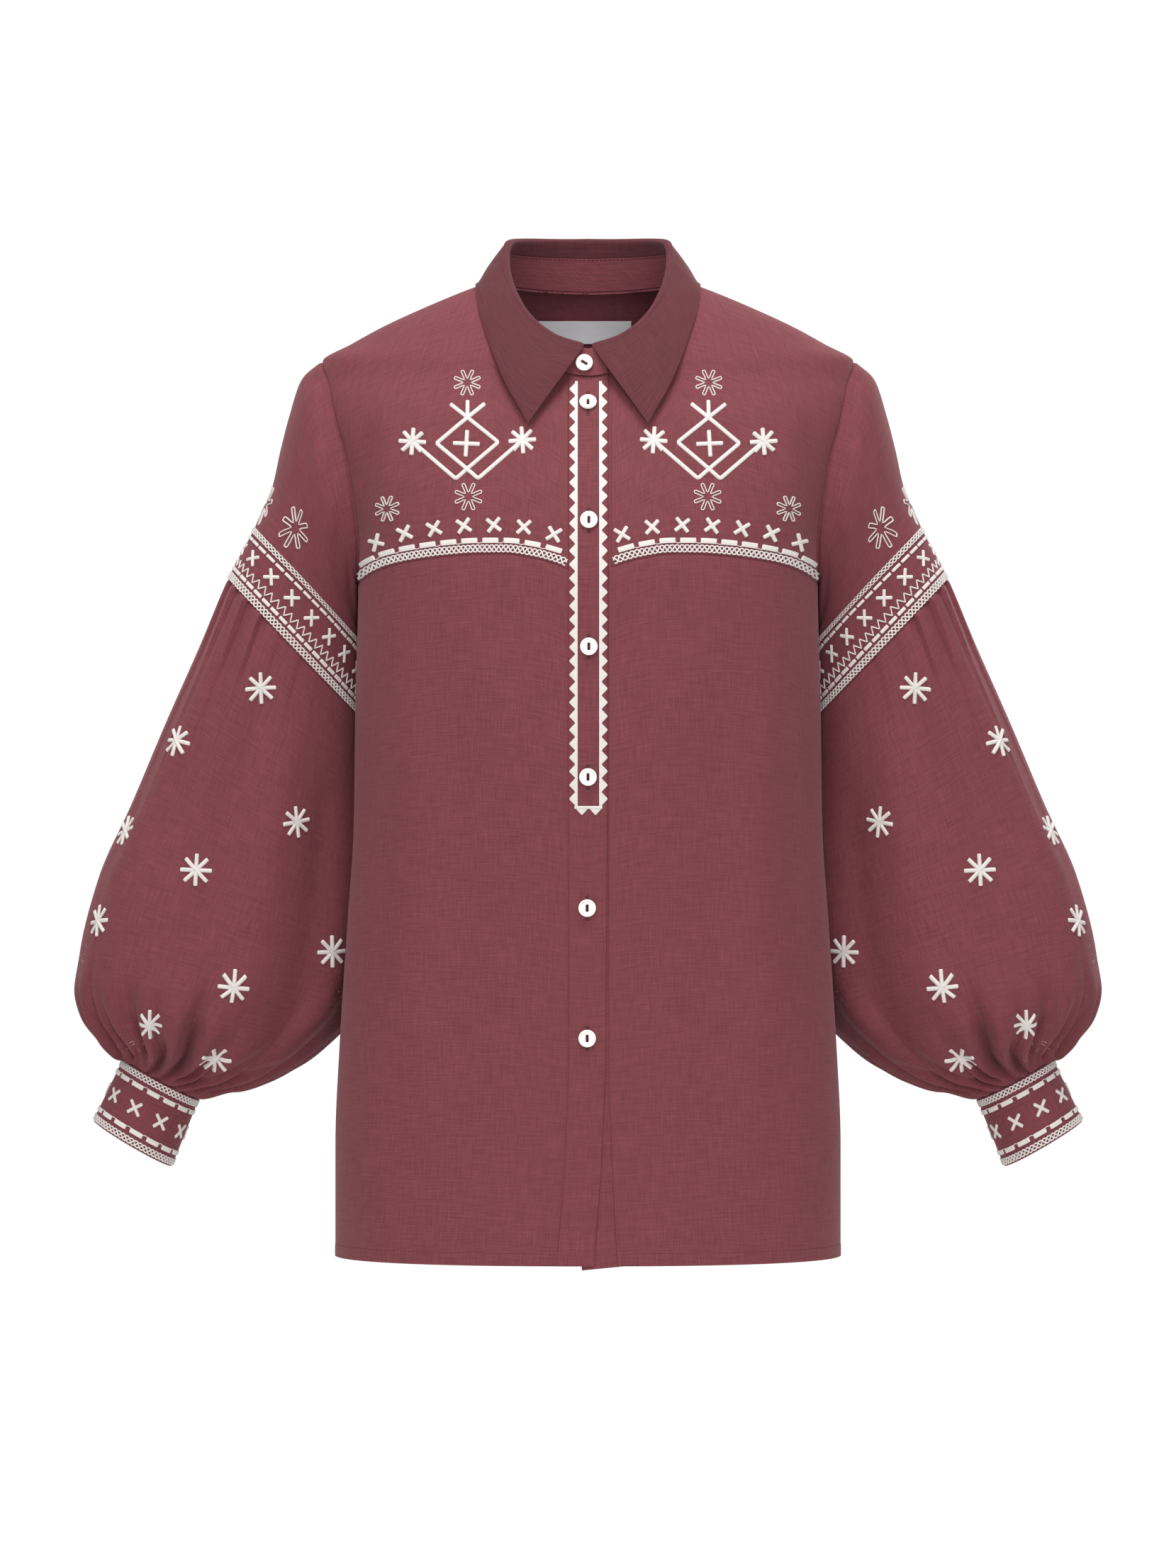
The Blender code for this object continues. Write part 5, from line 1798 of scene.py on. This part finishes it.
def make_sewing():
    """Hem stitches, buttonholes, and the stitched line inside the collar."""
    z = HEM + HEM_TURN
    reach = {side: float(side_x(np.array(z), side)) - 0.8 for side in (FRONT, BACK)}
    hems = [
        (WORD[side], side, FRONT, np.linspace(float(band_edge(z, side)) + 1, reach[FRONT], 60))
        for side in (RIGHT, LEFT)
    ]
    hems.append(("back", LEFT, BACK, np.linspace(-reach[BACK], reach[BACK], 120)))
    for word, side, face, x in hems:
        line = Stitches()
        running_stitches(line, np.stack([x, np.full(len(x), z)], axis=-1))
        rule = functools.partial(on_trunk, side=face)
        stitch(f"hem_stitches_{word}", [(line, rule)], side, "matching_thread")

    holes = Stitches()
    for x, z in zip(BUTTONS["x"][1:], BUTTONS["z"][1:]):
        for off in (-0.55, 0.55):
            steps = np.linspace(-HOLE_HALF, HOLE_HALF, 14)
            holes.bar(np.stack([np.full(14, x + off), z + steps], axis=-1), 1.1, 0.35)
        for end in (-HOLE_HALF, HOLE_HALF):
            holes.bar([(x + off, z + end) for off in (-1.3, 0, 1.3)], 1.2, 0.45)
    stitch("buttonholes", [(holes, on_band)], LEFT, "matching_thread")

    inside = Stitches()
    for start in np.arange(86, 274, 2.9):
        inside.bar(np.linspace((start, 0), (start + 1.8, 0), 3), 0.45, 0.3, THREAD_RING, blunt=0)

    def in_collar(u, v, h):
        """u is in degrees round the neck, v in mm above the stitched line."""
        share = read(STAND_SHARE, "share", fold_turn(u))[:, None]
        wall = neck_wall(u, share)
        up = unit(neck_wall(u, share + 0.01) - wall)
        return wall + (v - 1.6)[:, None] * up - (0.55 + h)[:, None] * outwards(u)

    stitch("collar_stitches", [(inside, in_collar)], LEFT, "matching_thread")


# Stage

FLOOR_DROP = 1.15  # in metres
FLOOR_REACH = 1.0

# Each light's place, what it points at and its size, in metres, and its share of the set power.
LIGHTS = {
    "key": ((-0.9, -2.7, 1.6), (0, 0, -0.35), 1.6, 0.72),
    "fill": ((0.4, -3.1, -0.05), (0, 0, -0.3), 1.2, 0.72),
    "top": ((0.0, -1.0, 2.3), (0, 0, -0.05), 1.2, 1.6),
    "rear": ((1.6, 2.3, 1.2), (0, 0, -0.35), 1.6, 0.6),
}


def make_stage():
    """A pale round floor under the shirt, soft lights, a white background and the camera."""
    make_floor()
    make_background()
    for name, row in LIGHTS.items():
        make_light(name, *row)
    make_camera()


def make_floor():
    """A flat disc well below the shirt, in matt paint, which stays pale and plain."""
    angle = np.linspace(0, 2 * math.pi, 96, endpoint=False)
    rim = join(FLOOR_REACH * np.cos(angle), FLOOR_REACH * np.sin(angle), -FLOOR_DROP)
    mesh = bpy.data.meshes.new("floor")
    mesh.from_pydata(rim.tolist(), [], [list(range(len(rim)))])
    floor = new_object("floor", mesh)
    painted, _, _ = start_material("pale_floor")
    look = {"Base Color": linear("#f4f3f1"), "Roughness": 0.9, "Specular IOR Level": 0.1}
    mesh.materials.append(end_material(painted, look))


def make_background():
    """Soft light from all round, and plain white where the camera looks past the shirt."""
    settings = bpy.context.scene.shirt_stage
    world = bpy.data.worlds.new("studio")
    bpy.context.scene.world = world
    world.use_nodes = True
    tree = world.node_tree
    tree.nodes.clear()
    seen = add(tree, "ShaderNodeLightPath").outputs["Is Camera Ray"]
    soft = add(tree, "ShaderNodeBackground", {"Color": (1, 1, 1, 1), "Strength": settings.ambient})
    bright = add(tree, "ShaderNodeBackground", {"Color": (1, 1, 1, 1), "Strength": settings.background})
    mixed = add(tree, "ShaderNodeMixShader", {0: seen, 1: soft.outputs[0], 2: bright.outputs[0]})
    add(tree, "ShaderNodeOutputWorld", {"Surface": mixed.outputs[0]})


def make_light(name, place, target, size, share):
    """A square area light, turned to its target."""
    light = bpy.data.lights.new(name, "AREA")
    light.size = size
    light.energy = bpy.context.scene.shirt_stage.key * share
    lamp = new_object(name, light)
    lamp.location = place
    way = np.subtract(target, place)
    fall = math.acos(-way[2] / np.linalg.norm(way))
    lamp.rotation_euler = (fall, 0, math.atan2(way[1], way[0]) - math.pi / 2)


def make_camera():
    """A level camera at the photograph's angle, which takes in its whole frame."""
    camera = bpy.data.cameras.new("camera")
    camera.sensor_width = SENSOR
    camera.lens = SENSOR * CAMERA_DISTANCE / FRAME_HEIGHT
    camera.clip_end = 100
    eye = new_object("camera", camera)
    eye.location = (0, -CAMERA_DISTANCE * MM, CAMERA_HEIGHT * MM)
    eye.rotation_euler = (math.pi / 2, 0, 0)
    bpy.context.scene.camera = eye
    bpy.context.scene.view_settings.view_transform = "Standard"


# Settings, operators and panel


class ShirtCloth(bpy.types.PropertyGroup):
    colour: FloatVectorProperty(
        name="Colour",
        description="Mean colour of the linen",
        subtype="COLOR",
        size=3,
        min=0,
        max=1,
        default=linear("#6e383e")[:3],
    )
    thickness: FloatProperty(
        name="Thickness",
        description="Thickness of the cloth as drawn",
        default=0.7 * MM,
        min=0.3 * MM,
        max=1.4 * MM,
        unit="LENGTH",
        precision=5,
    )
    thread_spacing: FloatProperty(
        name="Thread spacing",
        description="Distance between the threads as drawn",
        default=0.75 * MM,
        min=0.3 * MM,
        max=2 * MM,
        unit="LENGTH",
        precision=5,
    )
    creases: FloatProperty(
        name="Creases",
        description="Depth of the creases, as a factor",
        default=1.0,
        min=0,
        max=2,
        subtype="FACTOR",
    )


class ShirtThreads(bpy.types.PropertyGroup):
    colour: FloatVectorProperty(
        name="Colour",
        description="Colour of the embroidery thread",
        subtype="COLOR",
        size=3,
        min=0,
        max=1,
        default=linear("#dcd6d1")[:3],
    )
    strand: FloatProperty(
        name="Strand",
        description="Width of one strand",
        default=0.55 * MM,
        min=0.2 * MM,
        max=2 * MM,
        unit="LENGTH",
        precision=5,
    )


class ShirtButtons(bpy.types.PropertyGroup):
    colour: FloatVectorProperty(
        name="Colour",
        description="Colour of the buttons",
        subtype="COLOR",
        size=3,
        min=0,
        max=1,
        default=linear("#f0ece6")[:3],
    )


class ShirtStage(bpy.types.PropertyGroup):
    key: FloatProperty(
        name="Key light",
        description="Power that each light takes its share of",
        default=36.0,
        min=0,
        unit="POWER",
    )
    ambient: FloatProperty(
        name="Ambient",
        description="Strength of the light from all round",
        default=0.66,
        min=0,
    )
    background: FloatProperty(
        name="Background",
        description="Brightness behind the shirt",
        default=1.0,
        min=0,
    )


class SHIRT_OT_stage(bpy.types.Operator):
    """Add the floor, the lights, the background and the camera"""

    bl_idname = "shirt.stage"
    bl_label = "Stage"

    def execute(self, context):
        make_stage()
        return {"FINISHED"}


class SHIRT_OT_back(bpy.types.Operator):
    """Add the back panel"""

    bl_idname = "shirt.back"
    bl_label = "Back"

    def execute(self, context):
        make_back()
        return {"FINISHED"}


class SHIRT_OT_yokes(bpy.types.Operator):
    """Add both front yokes"""

    bl_idname = "shirt.yokes"
    bl_label = "Yokes"

    def execute(self, context):
        for side in (RIGHT, LEFT):
            make_yoke(side)
        return {"FINISHED"}


class SHIRT_OT_fronts(bpy.types.Operator):
    """Add both lower fronts"""

    bl_idname = "shirt.fronts"
    bl_label = "Fronts"

    def execute(self, context):
        for side in (RIGHT, LEFT):
            make_front(side)
        return {"FINISHED"}


class SHIRT_OT_bands(bpy.types.Operator):
    """Add both button bands"""

    bl_idname = "shirt.bands"
    bl_label = "Button bands"

    def execute(self, context):
        over, under = ("over_right", "over_left"), ("under_right", "under_left")
        make_band("placket_over", over, BAND_LIFT, (HEM, HEM), 1.2)
        make_band("placket_under", under, -BAND_DROP, (UNDER_HEM, HEM), 1.0, ALLOWANCE)
        return {"FINISHED"}


class SHIRT_OT_sleeves(bpy.types.Operator):
    """Add the upper and lower sleeves"""

    bl_idname = "shirt.sleeves"
    bl_label = "Sleeves"

    def execute(self, context):
        make_sleeves()
        return {"FINISHED"}


class SHIRT_OT_cuffs(bpy.types.Operator):
    """Add both cuffs"""

    bl_idname = "shirt.cuffs"
    bl_label = "Cuffs"

    def execute(self, context):
        make_cuffs()
        return {"FINISHED"}


class SHIRT_OT_collar(bpy.types.Operator):
    """Add the collar's stand and leaf"""

    bl_idname = "shirt.collar"
    bl_label = "Collar"

    def execute(self, context):
        make_collar()
        return {"FINISHED"}


class SHIRT_OT_label(bpy.types.Operator):
    """Add the bare neck label"""

    bl_idname = "shirt.label"
    bl_label = "Label"

    def execute(self, context):
        make_label()
        return {"FINISHED"}


class SHIRT_OT_buttons(bpy.types.Operator):
    """Add the buttons and their thread"""

    bl_idname = "shirt.buttons"
    bl_label = "Buttons"

    def execute(self, context):
        make_buttons()
        return {"FINISHED"}


class SHIRT_OT_yoke_embroidery(bpy.types.Operator):
    """Add the chest motifs and the yokes' borders"""

    bl_idname = "shirt.yoke_embroidery"
    bl_label = "Yoke embroidery"

    def execute(self, context):
        make_yoke_embroidery()
        return {"FINISHED"}


class SHIRT_OT_edging(bpy.types.Operator):
    """Add the sawtooth edging"""

    bl_idname = "shirt.edging"
    bl_label = "Placket edging"

    def execute(self, context):
        make_edging()
        return {"FINISHED"}


class SHIRT_OT_sleeve_embroidery(bpy.types.Operator):
    """Add the sleeves' bands and stars"""

    bl_idname = "shirt.sleeve_embroidery"
    bl_label = "Sleeve embroidery"

    def execute(self, context):
        make_sleeve_embroidery()
        return {"FINISHED"}


class SHIRT_OT_cuff_embroidery(bpy.types.Operator):
    """Add the cuffs' borders"""

    bl_idname = "shirt.cuff_embroidery"
    bl_label = "Cuff embroidery"

    def execute(self, context):
        make_cuff_embroidery()
        return {"FINISHED"}


class SHIRT_OT_sewing(bpy.types.Operator):
    """Add hem stitches, buttonholes and collar stitches"""

    bl_idname = "shirt.sewing"
    bl_label = "Sewing"

    def execute(self, context):
        make_sewing()
        return {"FINISHED"}


class SHIRT_PT_panel(bpy.types.Panel):
    """Lists the shirt's pieces and settings in the 3D view's sidebar"""

    bl_label = "Embroidered Shirt"
    bl_space_type = "VIEW_3D"
    bl_region_type = "UI"
    bl_category = "Shirt"

    def draw(self, context):
        for made in OPERATORS:
            self.layout.operator(made.bl_idname)
        for name in SETTINGS:
            group = getattr(context.scene, name)
            for setting in group.__annotations__:
                self.layout.prop(group, setting)


# In the order in which main calls them.
OPERATORS = [
    SHIRT_OT_stage,
    SHIRT_OT_back,
    SHIRT_OT_yokes,
    SHIRT_OT_fronts,
    SHIRT_OT_bands,
    SHIRT_OT_sleeves,
    SHIRT_OT_cuffs,
    SHIRT_OT_collar,
    SHIRT_OT_label,
    SHIRT_OT_buttons,
    SHIRT_OT_yoke_embroidery,
    SHIRT_OT_edging,
    SHIRT_OT_sleeve_embroidery,
    SHIRT_OT_cuff_embroidery,
    SHIRT_OT_sewing,
]
SETTINGS = {
    "shirt_cloth": ShirtCloth,
    "shirt_threads": ShirtThreads,
    "shirt_buttons": ShirtButtons,
    "shirt_stage": ShirtStage,
}
CLASSES = [*SETTINGS.values(), *OPERATORS, SHIRT_PT_panel]


def register():
    for made in CLASSES:
        bpy.utils.register_class(made)
    for name, made in SETTINGS.items():
        setattr(bpy.types.Scene, name, PointerProperty(type=made))


def unregister():
    for name in SETTINGS:
        delattr(bpy.types.Scene, name)
    for made in reversed(CLASSES):
        bpy.utils.unregister_class(made)


def main():
    """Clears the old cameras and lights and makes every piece."""
    for old in list(bpy.context.scene.objects):
        if old.type in ("CAMERA", "LIGHT"):
            bpy.data.objects.remove(old)
    register()
    for made in OPERATORS:
        getattr(bpy.ops.shirt, made.bl_idname.split(".")[1])()


if __name__ == "__main__":
    main()
